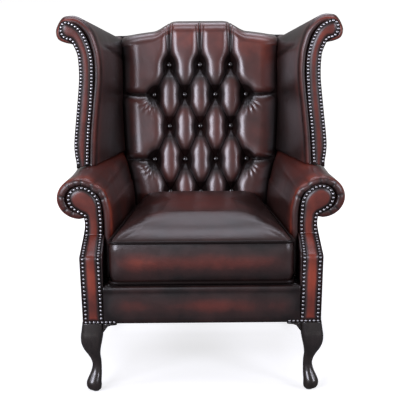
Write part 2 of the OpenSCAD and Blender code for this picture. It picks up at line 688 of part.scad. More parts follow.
side_rail_y0 = post_y + post_d + seat_gap;
side_rail_y1 = frame_y(0) - seat_gap;
module side_rail() {
    y0 = side_rail_y0;
    y1 = side_rail_y1;
    color(FRAME_WOOD)
        from_front()
            flat_plate([[rail_out_x(y0) - rail_t, y0], [rail_out_x(y0), y0], [rail_out_x(y1), y1],
                [rail_out_x(y1) - rail_t, y1]], rail_low_z, rail_top_z);
}
back_post_w = 36;
back_post_x1 = panel_x(cover_y(roll_rear_z)) - cover_t - seat_gap;
back_post_x0 = back_post_x1 - back_post_w;
module back_post() {
    color(FRAME_WOOD)
        from_front()
            side_plate(raked_strip(body_z, top_roll_z - seat_gap, 0, back_frame_t),
                back_post_x0, back_post_x1);
}
module front_rail() {
    x1 = facing_in_x;
    color(FRAME_WOOD)
        from_front()
            flat_plate([[-x1, post_y], [x1, post_y], [x1, post_y + rail_t], [-x1, post_y + rail_t]],
                rail_low_z, rail_top_z);
}
module cross_rail(z0, z1) {
    x1 = back_post_x0 - seat_gap;
    color(FRAME_WOOD)
        from_front()
            side_plate(raked_strip(z0, z1, (back_frame_t - rail_t) / 2, rail_t), -x1, x1);
}
module rear_rail() { cross_rail(rail_low_z, rail_top_z); }
module back_lower_rail() { cross_rail(bend_z - rail_t, bend_z + rail_t); }
module back_top_rail() {
    x1 = back_post_x0 - seat_gap;
    x2 = wing_rear_x - seat_gap;
    low = top_roll_z - 2 * rail_t;
    color(FRAME_WOOD)
        from_front()
            intersection() {
                side_plate(raked_strip(low, hump_h, 0, rail_t), -x1, x1);
                front_plate(concat([[-x1, low], [x1, low], [x1, top_roll_z - seat_gap],
                    [x2, top_roll_z - seat_gap]], crown_line(x2, nail_margin),
                    [[-x2, top_roll_z - seat_gap], [-x1, top_roll_z - seat_gap]]), 0, back_reach);
            }
}
block_leg = 70;
bolt_r = 4;
bolt_fit = 0.3;
bolt_in = 26;
bolt_nut_r = 7;
bolt_nut_h = 6;
block_up = 8;
block_down = 12;
block_z0 = rail_low_z + block_up;
block_z1 = rail_top_z - block_down;
front_block = [facing_in_x - seat_gap, post_y + rail_t + seat_gap];
front_bolt = [front_block[0] - bolt_in, front_block[1] + bolt_in];
rear_block_x = rail_out_x(side_rail_y1) - rail_t - seat_gap;
rear_bolt = [rear_block_x - bolt_in, side_rail_y1 - bolt_in];
module corner_blocks() {
    fx = front_block[0];
    fy = front_block[1];
    rx = rear_block_x;
    ry = side_rail_y1;
    color(FRAME_WOOD)
        from_front()
            for (m = [0, 1])
                mirror([m, 0, 0])
                    difference() {
                        union() {
                            flat_plate([[fx - block_leg, fy], [fx, fy], [fx, fy + block_leg]], block_z0,
                                block_z1);
                            flat_plate([[rx - block_leg, ry], [rx, ry - block_leg], [rx, ry]], block_z0,
                                block_z1);
                        }
                        for (b = [front_bolt, rear_bolt])
                            translate([b[0], b[1], block_z0 - overrun])
                                cylinder(h = block_z1 - block_z0 + 2 * overrun, r = bolt_r + bolt_fit,
                                    $fn = round_fn);
                    }
}
module leg_bolts() {
    color(NICKEL)
        from_front()
            for (m = [0, 1], b = [front_bolt, rear_bolt])
                mirror([m, 0, 0])
                    translate([b[0], b[1], 0]) {
                        translate([0, 0, body_z])
                            cylinder(h = block_z1 - body_z + bolt_nut_h, r = bolt_r, $fn = round_fn);
                        translate([0, 0, block_z1])
                            cylinder(h = bolt_nut_h, r = bolt_nut_r, $fn = 6);
                    }
}
module wing_board() {
    top_z = wing_return[0][1] - wing_board_t / 8;
    inner = [for (p = reversed(wing_return)) [p[0] + wing_fit, min(p[1], top_z)]];
    outer = [for (p = wing_outer) if (p[1] > arm_h && p[1] < top_z)
        p - [cover_t + 1.4 * nail_margin, 0]];
    foot_z = arm_h + seat_gap / 2;
    color(FRAME_WOOD)
        from_front()
            front_plate(concat([[inner[0][0], foot_z]], inner, outer,
                [[outer[len(outer) - 1][0], foot_z]]), wing_y, wing_y + wing_board_t);
}
wing_rail_z = wing_return[1][1];
wing_rail_in = lookup(wing_rail_z, upward(reversed(wing_return))) + nail_margin;
wing_rail_share = 0.65;
wing_rail_w = wing_rail_share
    * (lookup(wing_rail_z, upward(reversed(wing_outer))) - cover_t - wing_rail_in);
module wing_rail() {
    z1 = wing_rail_z;
    y0 = wing_y + wing_board_t;
    top = wing_rear_return[1][1];
    front_in = wing_rail_in;
    rear_in = back_post_x1 - wing_rail_w - seat_gap;
    corners = [[0, -1], [1, -1], [1, 0], [0, 0]];
    color(FRAME_WOOD)
        from_front()
            skin([[for (p = corners) [front_in + p[0] * wing_rail_w, y0, z1 + p[1] * rail_t]],
                [for (p = corners) let (z = top + p[1] * rail_t)
                    [rear_in + p[0] * wing_rail_w, frame_y(z), z]]]);
}

// Seat
web_w = 50;
module seat_webbing() {
    y0 = post_y;
    y1 = frame_y(0) + back_frame_t / 2;
    color(JUTE)
        from_front()
            for (i = [-2:2])
                flat_plate([for (s = [[-1, y0], [1, y0], [1, y1], [-1, y1]])
                    [i * 1.6 * web_w + s[0] * web_w / 2, s[1]]], rail_top_z, rail_top_z + web_t);
}
module back_webbing() {
    x1 = back_post_x1 - wing_rail_w - 3 * seat_gap;
    color(JUTE)
        from_front()
            for (k = [0:3])
                let (z = lerp(row_z(4), row_z(0), (k + 0.5) / 4))
                side_plate(raked_strip(z - web_w / 2, z + web_w / 2, -web_t, web_t), -x1, x1);
}
function deck_plan(y0) = let (x0 = facing_in_x, y2 = seat_d - seat_gap,
        right = [[x0, y0], [x0, arm_y - seat_gap], [arm_in_x - seat_gap, arm_y - seat_gap],
            [arm_inner_x(y2, arm_low_z) - seat_gap, y2]])
    concat(right, [for (p = reversed(right)) [-p[0], p[1]]]);
module deck_pad() {
    color(CLOTH)
        from_front()
            flat_plate(deck_plan(post_y), rail_top_z + web_t, deck_z - deck_cover_t);
}
module deck_cover() {
    color(DARK_LEATHER)
        from_front()
            flat_plate(deck_plan(post_y), deck_z - deck_cover_t, deck_z);
}
border_drop = 7;
border_top_z = deck_z - border_drop;
bead_r = 6.5;
module front_border() {
    x1 = facing_in_x - seat_gap;
    color(LEATHER)
        from_front() {
            side_plate(concat([[0, body_z], [facing_t, body_z], [facing_t, border_top_z - bead_r]],
                [for (a = [0:20:180]) [facing_t - bead_r, border_top_z - bead_r]
                    + bead_r * [cos(a), sin(a)]], [[0, border_top_z - 2 * bead_r]]), -x1, x1);
        }
}
dust_t = 1.2;
module dust_cover() {
    x0 = facing_in_x - leg_top_r;
    x1 = rail_out_x(0) - 2 * rail_t;
    rx = rear_leg_x - rear_leg_top_r - nail_margin;
    y0 = post_y;
    y1 = cover_y(0) - 3 * seat_gap;
    leg_y = 2 * leg_top_r + block_leg / 2;
    half = [[x0 - block_leg / 2, y0], [x0 - block_leg / 2, leg_y], [x1 + rail_t, leg_y],
        [rail_out_x(rear_leg_y) - rail_t / 2, rear_leg_y - 2 * rear_leg_top_r],
        [rx, rear_leg_y - 2 * rear_leg_top_r], [rx, y1]];
    color(CLOTH)
        from_front()
            flat_plate(concat(half, [for (p = reversed(half)) [-p[0], p[1]]]), body_z - dust_t, body_z);
}

// Legs
function corner_ring(c, r, e, z) = [for (a = [0:18:342])
    [c[0] + r * sign(cos(a)) * pow(abs(cos(a)), 2 / e),
        c[1] + r * sign(sin(a)) * pow(abs(sin(a)), 2 / e), z]];
leg_z1 = body_z - seat_gap / 4;
// For each ring: its height as a share of the leg's, how far its middle stands in from
// the body's corner as a share of the leg's top, its half width, and its squareness
leg_rings = [
    [0, 1.1, leg_foot_r * 0.55, 2], [0.025, 1, leg_foot_r * 0.86, 2.1],
    [0.075, 0.95, leg_foot_r, 2.2], [0.13, 0.95, leg_foot_r * 0.98, 2.2],
    [0.20, 1.067, leg_foot_r * 0.86, 2.2], [0.27, 1.183, leg_ankle_r * 1.16, 2.2],
    [0.36, 1.25, leg_ankle_r, 2.3], [0.44, 1.183, leg_ankle_r * 1.08, 2.5],
    [0.52, 1.033, leg_ankle_r * 1.3, 2.8], [0.61, 0.883, leg_knee_r * 0.75, 3.1],
    [0.70, 0.833, leg_knee_r * 0.92, 3.4], [0.79, knee_in_share, leg_knee_r, 3.6],
    [0.88, 0.933, leg_knee_r * 0.985, 4], [1, 1, leg_top_r, 5]];
module front_leg() {
    color(STAINED_WOOD)
        from_front()
            skin([for (s = leg_rings) let (in_by = s[1] * leg_top_r)
                corner_ring([half_front - in_by, in_by], s[2], s[3], lerp(glide_t, leg_z1, s[0]))]);
}
rear_leg_x = half_rear - cover_t - rear_leg_top_r - nail_margin;
rear_leg_y = frame_y(0) + back_frame_t / 2;
rear_leg_splay = 12;
module rear_leg() {
    color(STAINED_WOOD)
        from_front()
            skin([for (t = [0, 0.25, 0.5, 0.75, 1])
                let (f = 1 - t, w = f * f)
                corner_ring([rear_leg_x + rear_leg_splay * w, rear_leg_y + rear_leg_rake * w],
                    lerp(rear_leg_foot_r, rear_leg_top_r, t), 6, lerp(glide_t, leg_z1, t))]);
}
module foot_glides() {
    front_in = leg_rings[0][1] * leg_top_r;
    front = [half_front - front_in, front_in];
    rear = [rear_leg_x + rear_leg_splay, rear_leg_y + rear_leg_rake];
    color(NICKEL)
        from_front()
            for (m = [0, 1], p = [front, rear])
                mirror([m, 0, 0])
                    translate([p[0], p[1], 0])
                        cylinder(h = glide_t, r = glide_r, $fn = round_fn);
}
ear_w = 40;
ear_h = 28;
ear_t = 22;
module knee_blocks() {
    x0 = half_front - 2 * leg_top_r - seat_gap;
    y0 = 2 * leg_top_r + seat_gap;
    ear = concat([[0, 0], [-ear_w, 0], [-ear_w, -ear_h / 4]],
        [for (a = [90:-15:0]) [-ear_w + nail_margin + (ear_w - nail_margin) * cos(a),
            -ear_h + ear_h * 3 / 4 * sin(a)]]);
    shape = [for (p = ear) [p[0], p[1] + leg_z1]];
    color(STAINED_WOOD)
        from_front() {
            front_plate([for (p = shape) [x0 + p[0], p[1]]], post_y - seat_gap, post_y + ear_t);
            side_plate([for (p = shape) [y0 - p[0], p[1]]], half_front - post_y - ear_t,
                half_front - post_y);
        }
}

// Cushion, with its middle on the chair's middle
cushion_y0 = -cushion_overhang;
cushion_y1 = seat_d - cushion_back_gap;
cushion_low = deck_z + seat_gap;
top_pipe_z = cushion_low + piping_r + boxing_h;
low_pipe_z = cushion_low + piping_r;
ledge = 2 * piping_r + seat_gap;
n_arc = 4;
n_side = 5;
function cushion_ring(in_by, bow, z) = let (
        r = max(cushion_corner_r - in_by, 1 / 4 * cushion_corner_r),
        y0 = cushion_y0 + in_by, y1 = cushion_y1 - in_by,
        wf = cushion_front_x - in_by, wr = cushion_rear_x - in_by,
        corners = [[wf - r, y0 + r, -90], [wr - r, y1 - r, 0], [r - wr, y1 - r, 90],
            [r - wf, y0 + r, 180]],
        arcs = [for (c = corners) [for (k = [0:n_arc])
            arc_at([c[0], c[1]], r, c[2] + 90 * k / n_arc)]])
    [for (i = [0:3]) each concat(
        [for (p = arcs[i]) [p[0], p[1], z]],
        let (a = arcs[i][n_arc], b = arcs[(i + 1) % 4][0], d = (b - a) / norm(b - a))
        [for (k = [1:n_side - 1]) let (s = k / n_side, p = lerp(a, b, s),
            w = (i == 1 ? 0 : bow) * sin(180 * s))
            [p[0] - d[1] * w, p[1] + d[0] * w, z]])];
function shrunk(ring, s, z) = let (c = [0, (cushion_y0 + cushion_y1) / 2])
    [for (p = ring) [c[0] + (p[0] - c[0]) * s, c[1] + (p[1] - c[1]) * s, z]];
crown_shares = [1, 0.93, 0.84, 0.72, 0.56, 0.36, 0.14];
crown_fall = 3.2;
module seat_cushion() {
    pipe = piping_r + seat_gap;
    rim = cushion_ring(ledge, 0, 0);
    mid = lerp(low_pipe_z, top_pipe_z, 0.5);
    flat_h = boxing_h / 4;
    rings = concat(
        [cushion_ring(ledge, 0, cushion_low), cushion_ring(ledge, 0, low_pipe_z + pipe),
            cushion_ring(0, 0, low_pipe_z + pipe),
            cushion_ring(boxing_in, side_bow, mid - flat_h),
            cushion_ring(boxing_in, side_bow, mid + flat_h),
            cushion_ring(0, 0, top_pipe_z - pipe), cushion_ring(ledge, 0, top_pipe_z - pipe)],
        [for (s = crown_shares)
            shrunk(rim, s, top_pipe_z + crown_h * pow(1 - pow(s, crown_fall), 0.8))]);
    color(LEATHER)
        from_front()
            skin(rings, fan = [0, 1]);
}
module piping(z) {
    path = cushion_ring(piping_r, 0, z);
    n = len(path);
    color(DARK_LEATHER)
        from_front()
            closed_tube([for (i = [0:n - 1])
                let (d = path[(i + 1) % n] - path[(i + n - 1) % n], u = d / norm(d),
                    o = [u[1], -u[0], 0])
                [for (a = [0:45:315]) path[i] + piping_r * (cos(a) * o + [0, 0, sin(a)])]]);
}
module cushion_top_piping() { piping(top_pipe_z); }
module cushion_bottom_piping() { piping(low_pipe_z); }
zip_w = 380;
zip_h = 24;
zip_t = 1;
zip_z = lerp(low_pipe_z, top_pipe_z, 0.5);
zip_y = cushion_y1 - boxing_in;
slider_w = 9;
slider_h = 16;
slider_t = 4.5;
module cushion_zip() {
    color(DARK_LEATHER)
        from_front()
            front_plate([for (s = [[-1, -1], [1, -1], [1, 1], [-1, 1]])
                [s[0] * zip_w / 2, zip_z + s[1] * zip_h / 2]], zip_y, zip_y + zip_t);
}
module zip_slider() {
    color(NICKEL)
        from_front()
            translate([-zip_w / 2 + slider_w, zip_y + zip_t + seat_gap, zip_z - slider_h / 2])
                cube([slider_w, slider_t, slider_h]);
}

other_side() front_leg();  // front_left_leg
front_leg();  // front_right_leg
other_side() rear_leg();  // rear_left_leg
rear_leg();  // rear_right_leg
other_side() knee_blocks();  // left_knee_blocks
knee_blocks();  // right_knee_blocks
foot_glides();
leg_bolts();
front_rail();
rear_rail();
other_side() side_rail();  // left_side_rail
side_rail();  // right_side_rail
corner_blocks();
other_side() arm_post();  // left_arm_post
arm_post();  // right_arm_post
other_side() arm_rail();  // left_arm_rail
arm_rail();  // right_arm_rail
other_side() back_post();  // left_back_post
back_post();  // right_back_post
back_top_rail();
back_lower_rail();
other_side() wing_board();  // left_wing_board
wing_board();  // right_wing_board
other_side() wing_rail();  // left_wing_rail
wing_rail();  // right_wing_rail
seat_webbing();
back_webbing();
deck_pad();
deck_cover();
front_border();
dust_cover();
inside_back();
back_buttons();
outside_back();
other_side() arm_roll();  // left_arm_roll
arm_roll();  // right_arm_roll
other_side() inside_arm();  // left_inside_arm
inside_arm();  // right_inside_arm
other_side() outside_arm();  // left_outside_arm
outside_arm();  // right_outside_arm
other_side() arm_facing();  // left_arm_facing
arm_facing();  // right_arm_facing
other_side() inside_wing();  // left_inside_wing
inside_wing();  // right_inside_wing
other_side() outside_wing();  // left_outside_wing
outside_wing();  // right_outside_wing
other_side() wing_facing();  // left_wing_facing
wing_facing();  // right_wing_facing
other_side() arm_nails();  // left_arm_nails
arm_nails();  // right_arm_nails
other_side() wing_nails();  // left_wing_nails
wing_nails();  // right_wing_nails
back_nails();
seat_cushion();
cushion_top_piping();
cushion_bottom_piping();
cushion_zip();
zip_slider();
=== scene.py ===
"""A buttoned wingback armchair in antique oxblood leather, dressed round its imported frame."""

import json
import logging
import math
from collections.abc import Callable, Sequence
from dataclasses import dataclass, field
from enum import Enum
from typing import Any

import bmesh
import bpy
import numpy as np
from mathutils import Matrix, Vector
from mathutils.geometry import delaunay_2d_cdt

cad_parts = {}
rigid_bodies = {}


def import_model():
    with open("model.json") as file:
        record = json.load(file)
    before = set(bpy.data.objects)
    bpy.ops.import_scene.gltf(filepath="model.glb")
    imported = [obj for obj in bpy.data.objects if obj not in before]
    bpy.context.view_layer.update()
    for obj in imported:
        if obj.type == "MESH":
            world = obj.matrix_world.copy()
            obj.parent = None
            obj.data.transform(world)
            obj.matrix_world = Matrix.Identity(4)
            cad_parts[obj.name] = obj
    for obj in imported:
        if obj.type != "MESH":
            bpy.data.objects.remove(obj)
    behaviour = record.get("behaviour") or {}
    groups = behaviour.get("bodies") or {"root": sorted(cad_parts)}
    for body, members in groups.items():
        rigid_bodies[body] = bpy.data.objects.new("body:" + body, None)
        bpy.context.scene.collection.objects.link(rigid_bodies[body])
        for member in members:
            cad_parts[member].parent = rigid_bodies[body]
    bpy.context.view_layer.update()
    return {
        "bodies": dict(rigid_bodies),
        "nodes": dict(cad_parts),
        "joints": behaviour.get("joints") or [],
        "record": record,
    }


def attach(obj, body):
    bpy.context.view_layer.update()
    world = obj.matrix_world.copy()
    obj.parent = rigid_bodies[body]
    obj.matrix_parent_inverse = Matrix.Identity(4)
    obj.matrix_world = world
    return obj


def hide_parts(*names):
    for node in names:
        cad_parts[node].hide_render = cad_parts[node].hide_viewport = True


log = logging.getLogger("armchair")
RAIL_Y = -0.3809
SIDES = ((1, "right"), (-1, "left"))

Array = np.ndarray
Number = Array | float


class Body(Enum):
    """The bodies that the pieces ride on."""

    CHAIR = "chair"
    CUSHION = "cushion"
    SLIDER = "slider"


class Slot(Enum):
    """The record's material slots."""

    LEATHER = "leather"
    DARK_LEATHER = "dark_leather"
    STAINED_WOOD = "stained_wood"
    FRAME_WOOD = "frame_wood"
    NICKEL = "nickel"
    CLOTH = "cloth"
    JUTE = "jute"


def lerp(a: Number, b: Number, t: Number) -> Number:
    """Returns a mixed towards b by the share t."""
    return a + (b - a) * t


def ease(a: float, b: float, x: Number) -> Number:
    """Returns 0 below a and 1 above b, with a smooth rise between.

    Args:
        a: Where the rise starts.
        b: Where it ends.
        x: A number or an array.

    Returns:
        The share, in the form of x.
    """
    t = np.clip((np.asarray(x, float) - a) / (b - a), 0.0, 1.0)
    return t * t * (3 - 2 * t)


def smooth(points: Sequence, steps: int) -> Array:
    """Draws a smooth open curve through its control points.

    Args:
        points: The points, of two or three numbers each.
        steps: Pieces drawn between two neighbouring points.

    Returns:
        The points of the curve.
    """
    p = np.asarray(points, float)
    out = []
    for i in range(len(p) - 1):
        a, b, c, d = p[max(0, i - 1)], p[i], p[i + 1], p[min(len(p) - 1, i + 2)]
        for k in range(steps):
            t = k / steps
            out.append(
                b + (c - a) * t / 2 + (2 * a - 5 * b + 4 * c - d) * t * t / 2
                + (3 * (b - c) + d - a) * t**3 / 2
            )
    out.append(p[-1])
    return np.array(out)


def pick(path: Array, s: Array, at: Array) -> Array:
    """Returns the points of a path, whose points lie at s, where at asks for them."""
    return np.stack([np.interp(at, s, path[:, k]) for k in range(path.shape[1])], 1)


def even(points: Array, count: int) -> Array:
    """Spreads points evenly along an open path.

    Args:
        points: The path.
        count: How many points are wanted.

    Returns:
        The spread points.
    """
    p = np.asarray(points, float)
    s = spans(p)
    return pick(p, s, np.linspace(0, s[-1], count))


def closed(path: Array) -> Array:
    """Returns a path that ends where it starts."""
    return np.vstack([path, path[:1]])


def spans(path: Array) -> Array:
    """Returns how far each point lies along a path."""
    return np.concatenate([[0], np.cumsum(np.linalg.norm(np.diff(path, axis=0), axis=1))])


def sideways(path: Array) -> Array:
    """Finds the way to the right of a flat path as it runs.

    Args:
        path: The path, as rows of two numbers.

    Returns:
        The unit direction at each point.
    """
    d = np.gradient(path, axis=0)
    d /= np.maximum(np.linalg.norm(d, axis=1, keepdims=True), 1e-9)
    return np.stack([d[:, 1], -d[:, 0]], 1)


def beside(points: Array, by: Number) -> Array:
    """Moves a flat path sideways, to its right as it runs.

    Args:
        points: The path, as rows of two numbers.
        by: The distance, or one distance for each point.

    Returns:
        The moved path.
    """
    p = np.asarray(points, float)
    return p + sideways(p) * np.reshape(by, (-1, 1))


def to_path(points: Array, path: Array) -> Array:
    """Measures how far points lie from a flat path.

    Args:
        points: Rows of two numbers.
        path: The path, as rows of two numbers.

    Returns:
        The distance of each point to the nearest stretch of the path.
    """
    p, best = np.asarray(points, float), np.full(len(points), 1e9)
    for a, b in zip(path[:-1], path[1:]):
        d = np.asarray(b, float) - a
        t = np.clip(((p - a) @ d) / max(float(d @ d), 1e-12), 0, 1)
        best = np.minimum(best, np.linalg.norm(p - a - t[:, None] * d, axis=1))
    return best


def inside(points: Array, outline: Array) -> Array:
    """Tells which points lie inside a closed outline.

    Args:
        points: Rows of two numbers.
        outline: The outline's corners.

    Returns:
        One truth value for each point.
    """
    x, z = points[:, 0], points[:, 1]
    hit = np.zeros(len(points), bool)
    for (x0, z0), (x1, z1) in zip(outline, np.roll(outline, -1, axis=0)):
        cross = (z0 > z) != (z1 > z)
        if abs(z1 - z0) > 1e-12:
            hit ^= cross & (x < (x1 - x0) * (z - z0) / (z1 - z0) + x0)
    return hit


def ripple(p: Array, scale: float, seed: int) -> Array:
    """Makes a soft repeatable unevenness from a few crossed waves.

    Args:
        p: Points of three numbers.
        scale: The rough number of waves for each metre.
        seed: Which of many patterns is drawn.

    Returns:
        A value near -1 to 1 for each point.
    """
    rng = np.random.default_rng(seed)
    total = np.zeros(len(p))
    for _ in range(7):
        k = rng.normal(size=3) * scale * 2.6
        total += np.sin(p @ k + rng.uniform(0, 6.28))
    return total / 3.2


def put(name: str, data: bpy.types.ID) -> bpy.types.Object:
    """Puts a mesh, a lamp or a camera into the scene.

    Args:
        name: The new object's name.
        data: What it shows.

    Returns:
        The object, at the origin.
    """
    made = bpy.data.objects.new(name, data)
    bpy.context.scene.collection.objects.link(made)
    return made


def coordinates(mesh: bpy.types.Mesh) -> Array:
    """Reads the points of a mesh.

    Args:
        mesh: The mesh.

    Returns:
        The points, as rows of three numbers.
    """
    co = np.empty(len(mesh.vertices) * 3)
    mesh.vertices.foreach_get("co", co)
    return co.reshape(-1, 3)


def close_up(mesh: bpy.types.Mesh, weld: bool = False, fill: bool = False) -> None:
    """Turns a mesh's faces outwards and shades them smooth.

    Args:
        mesh: The mesh, changed in place.
        weld: Whether points that share a place become one.
        fill: Whether open edges are closed first, and large faces split.
    """
    work = bmesh.new()
    work.from_mesh(mesh)
    if weld:
        bmesh.ops.remove_doubles(work, verts=work.verts, dist=1e-5)
    if fill:
        bmesh.ops.holes_fill(work, edges=[e for e in work.edges if e.is_boundary], sides=0)
    bmesh.ops.recalc_face_normals(work, faces=work.faces)
    if fill:
        bmesh.ops.triangulate(work, faces=[f for f in work.faces if len(f.verts) > 4])
    for face in work.faces:
        face.smooth = True
    work.to_mesh(mesh)
    work.free()


@dataclass
class Shape:
    """A mesh under construction: points, faces and each point's colour share, rubbed red where high
    and dark glaze with painted shade where low.
    """

    points: list = field(default_factory=list)
    faces: list = field(default_factory=list)
    wear_and_shade: list = field(default_factory=list)

    def add(self, points: Array, faces: Sequence, wear_and_shade: Number = 0.5) -> None:
        """Adds loose geometry.

        Args:
            points: Rows of three numbers.
            faces: Lists of point numbers, from 0 for this call's first point.
            wear_and_shade: One number, or one for each point.
        """
        start = len(self.points)
        self.points += [tuple(map(float, q)) for q in points]
        self.faces += [tuple(start + i for i in f) for f in faces]
        self.wear_and_shade += list(np.broadcast_to(np.asarray(wear_and_shade, float), (len(points),)))

    def grid(self, rows: Array, wear_and_shade: Number = 0.5, around: bool = False,
             caps: bool = False, along: bool = False) -> None:
        """Adds a surface of rows of points.

        Args:
            rows: An array of rows, columns and three numbers.
            wear_and_shade: One number, or an array of rows and columns.
            around: Whether each row closes on itself.
            caps: Whether the first and last rows are filled.
            along: Whether the last row joins the first.
        """
        n, m = rows.shape[:2]
        points = rows.reshape(-1, 3)
        values = np.broadcast_to(np.asarray(wear_and_shade, float), (n, m)).reshape(-1)
        faces = []
        for i in range(n if along else n - 1):
            i2 = (i + 1) % n
            for j in range(m if around else m - 1):
                k = (j + 1) % m
                faces.append((i * m + j, i * m + k, i2 * m + k, i2 * m + j))
        if caps:
            middle = np.stack([rows[0].mean(0), rows[-1].mean(0)])
            points = np.concatenate([points, middle])
            values = np.concatenate([values, [values[0], values[-1]]])
            for e, base in ((0, 0), (1, (n - 1) * m)):
                for j in range(m):
                    a, b = base + j, base + (j + 1) % m
                    faces.append((b, a, n * m + e) if e == 0 else (a, b, n * m + e))
        self.add(points, faces, values)

    def object(self, name: str, mirror: bool = False) -> bpy.types.Object:
        """Makes the Blender object, with its faces outwards and its shading smooth.

        Args:
            name: The piece's name.
            mirror: Whether it is made for the left side.

        Returns:
            The new object, at the origin.
        """
        points = np.array(self.points)
        if mirror:
            points = points * (-1, 1, 1)
        mesh = bpy.data.meshes.new(name)
        mesh.from_pydata([tuple(q) for q in points], [], self.faces)
        mesh.attributes.new("wear_and_shade", "FLOAT", "POINT").data.foreach_set(
            "value", np.clip(np.array(self.wear_and_shade, np.float32), 0, 1)
        )
        close_up(mesh, weld=True)
        mesh.validate()
        return put(name, mesh)


def loft(rings: Array, wear_and_shade: Number = 0.5) -> Shape:
    """Makes a closed form through rings of points, filled at both ends.

    Args:
        rings: The rings, with as many points each.
        wear_and_shade: How far the points are rubbed red; low values are dark glaze and painted
            shade.

    Returns:
        The closed shape.
    """
    shape = Shape()
    shape.grid(np.asarray(rings, float), wear_and_shade, around=True, caps=True)
    return shape


@dataclass
class Panel:
    """A flat outline filled with a fine mesh, then raised and placed in space."""

    outline: Array
    spacing: float
    flat: Array = field(init=False)
    faces: list = field(init=False)

    def __post_init__(self) -> None:
        """Fills the outline with flat points, the outline's first, and faces."""
        length = float(np.linalg.norm(np.diff(closed(self.outline), axis=0), axis=1).sum())
        loop = even(closed(self.outline), max(24, int(length / self.spacing)))[:-1]
        lo, hi = loop.min(0), loop.max(0)
        xs = np.arange(lo[0], hi[0], self.spacing)
        zs = np.arange(lo[1], hi[1], self.spacing * 0.87)
        inner = np.array([(x + (k % 2) * self.spacing / 2, z)
                          for k, z in enumerate(zs) for x in xs])
        inner = inner[inside(inner, loop)]
        inner = inner[to_path(inner, closed(loop)) > self.spacing * 0.6]
        verts = [Vector(q) for q in np.vstack([loop, inner])]
        points, _, faces, *_ = delaunay_2d_cdt(verts, [], [list(range(len(loop)))], 1, 1e-7)
        self.flat = np.array([tuple(q) for q in points])
        self.faces = [tuple(f) for f in faces]

    def plate(self, place: Callable[[Number], Array], height: Number, thick: float,
              wear_and_shade: Array) -> Shape:
        """Builds the raised panel as a closed plate.

        Args:
            place: Turns the flat points' heights into points in space.
            height: How far each flat point stands out.
            thick: The plate's thickness at its back.
            wear_and_shade: How far each flat point is rubbed red; low values are dark glaze and
                painted shade.

        Returns:
            The closed shape.
        """
        n, faces = len(self.flat), self.faces
        edges = dict.fromkeys(pair for f in faces for pair in zip(f, f[1:] + f[:1]))
        sides = [(b, a, a + n, b + n) for a, b in edges if (b, a) not in edges]
        made = Shape()
        made.add(np.vstack([place(height), place(-thick)]),
                 faces + [tuple(i + n for i in reversed(f)) for f in faces] + sides,
                 np.concatenate([wear_and_shade, wear_and_shade * 0.3]))
        return made


class Wiring:
    """A small hand for adding and linking the nodes of a tree."""

    def __init__(self, tree: bpy.types.NodeTree) -> None:
        """Takes the tree in hand."""
        self.tree = tree

    def add(self, kind: str, **inputs: Any) -> bpy.types.Node:
        """Adds a node and sets or links its inputs.

        Args:
            kind: The node's type.
            **inputs: Socket names, with underscores for spaces, and their values or sockets.

        Returns:
            The node.
        """
        node = self.tree.nodes.new(kind)
        for key, value in inputs.items():
            self.feed(node.inputs[key.replace("_", " ")], value)
        return node

    def feed(self, socket: bpy.types.NodeSocket, value: Any) -> None:
        """Links a socket, or sets its constant.

        Args:
            socket: The input.
            value: The socket that feeds it, or its constant.
        """
        if isinstance(value, bpy.types.NodeSocket):
            self.tree.links.new(value, socket)
        else:
            socket.default_value = value

    def math(self, how: str, *values: Any, clamp: bool = False) -> bpy.types.NodeSocket:
        """Adds a Math node.

        Args:
            how: The operation.
            *values: Its inputs in order, as numbers or sockets.
            clamp: Whether the result is kept between 0 and 1.

        Returns:
            The result's socket.
        """
        node = self.tree.nodes.new("ShaderNodeMath")
        node.operation, node.use_clamp = how, clamp
        for socket, value in zip(node.inputs, values):
            self.feed(socket, value)
        return node.outputs[0]


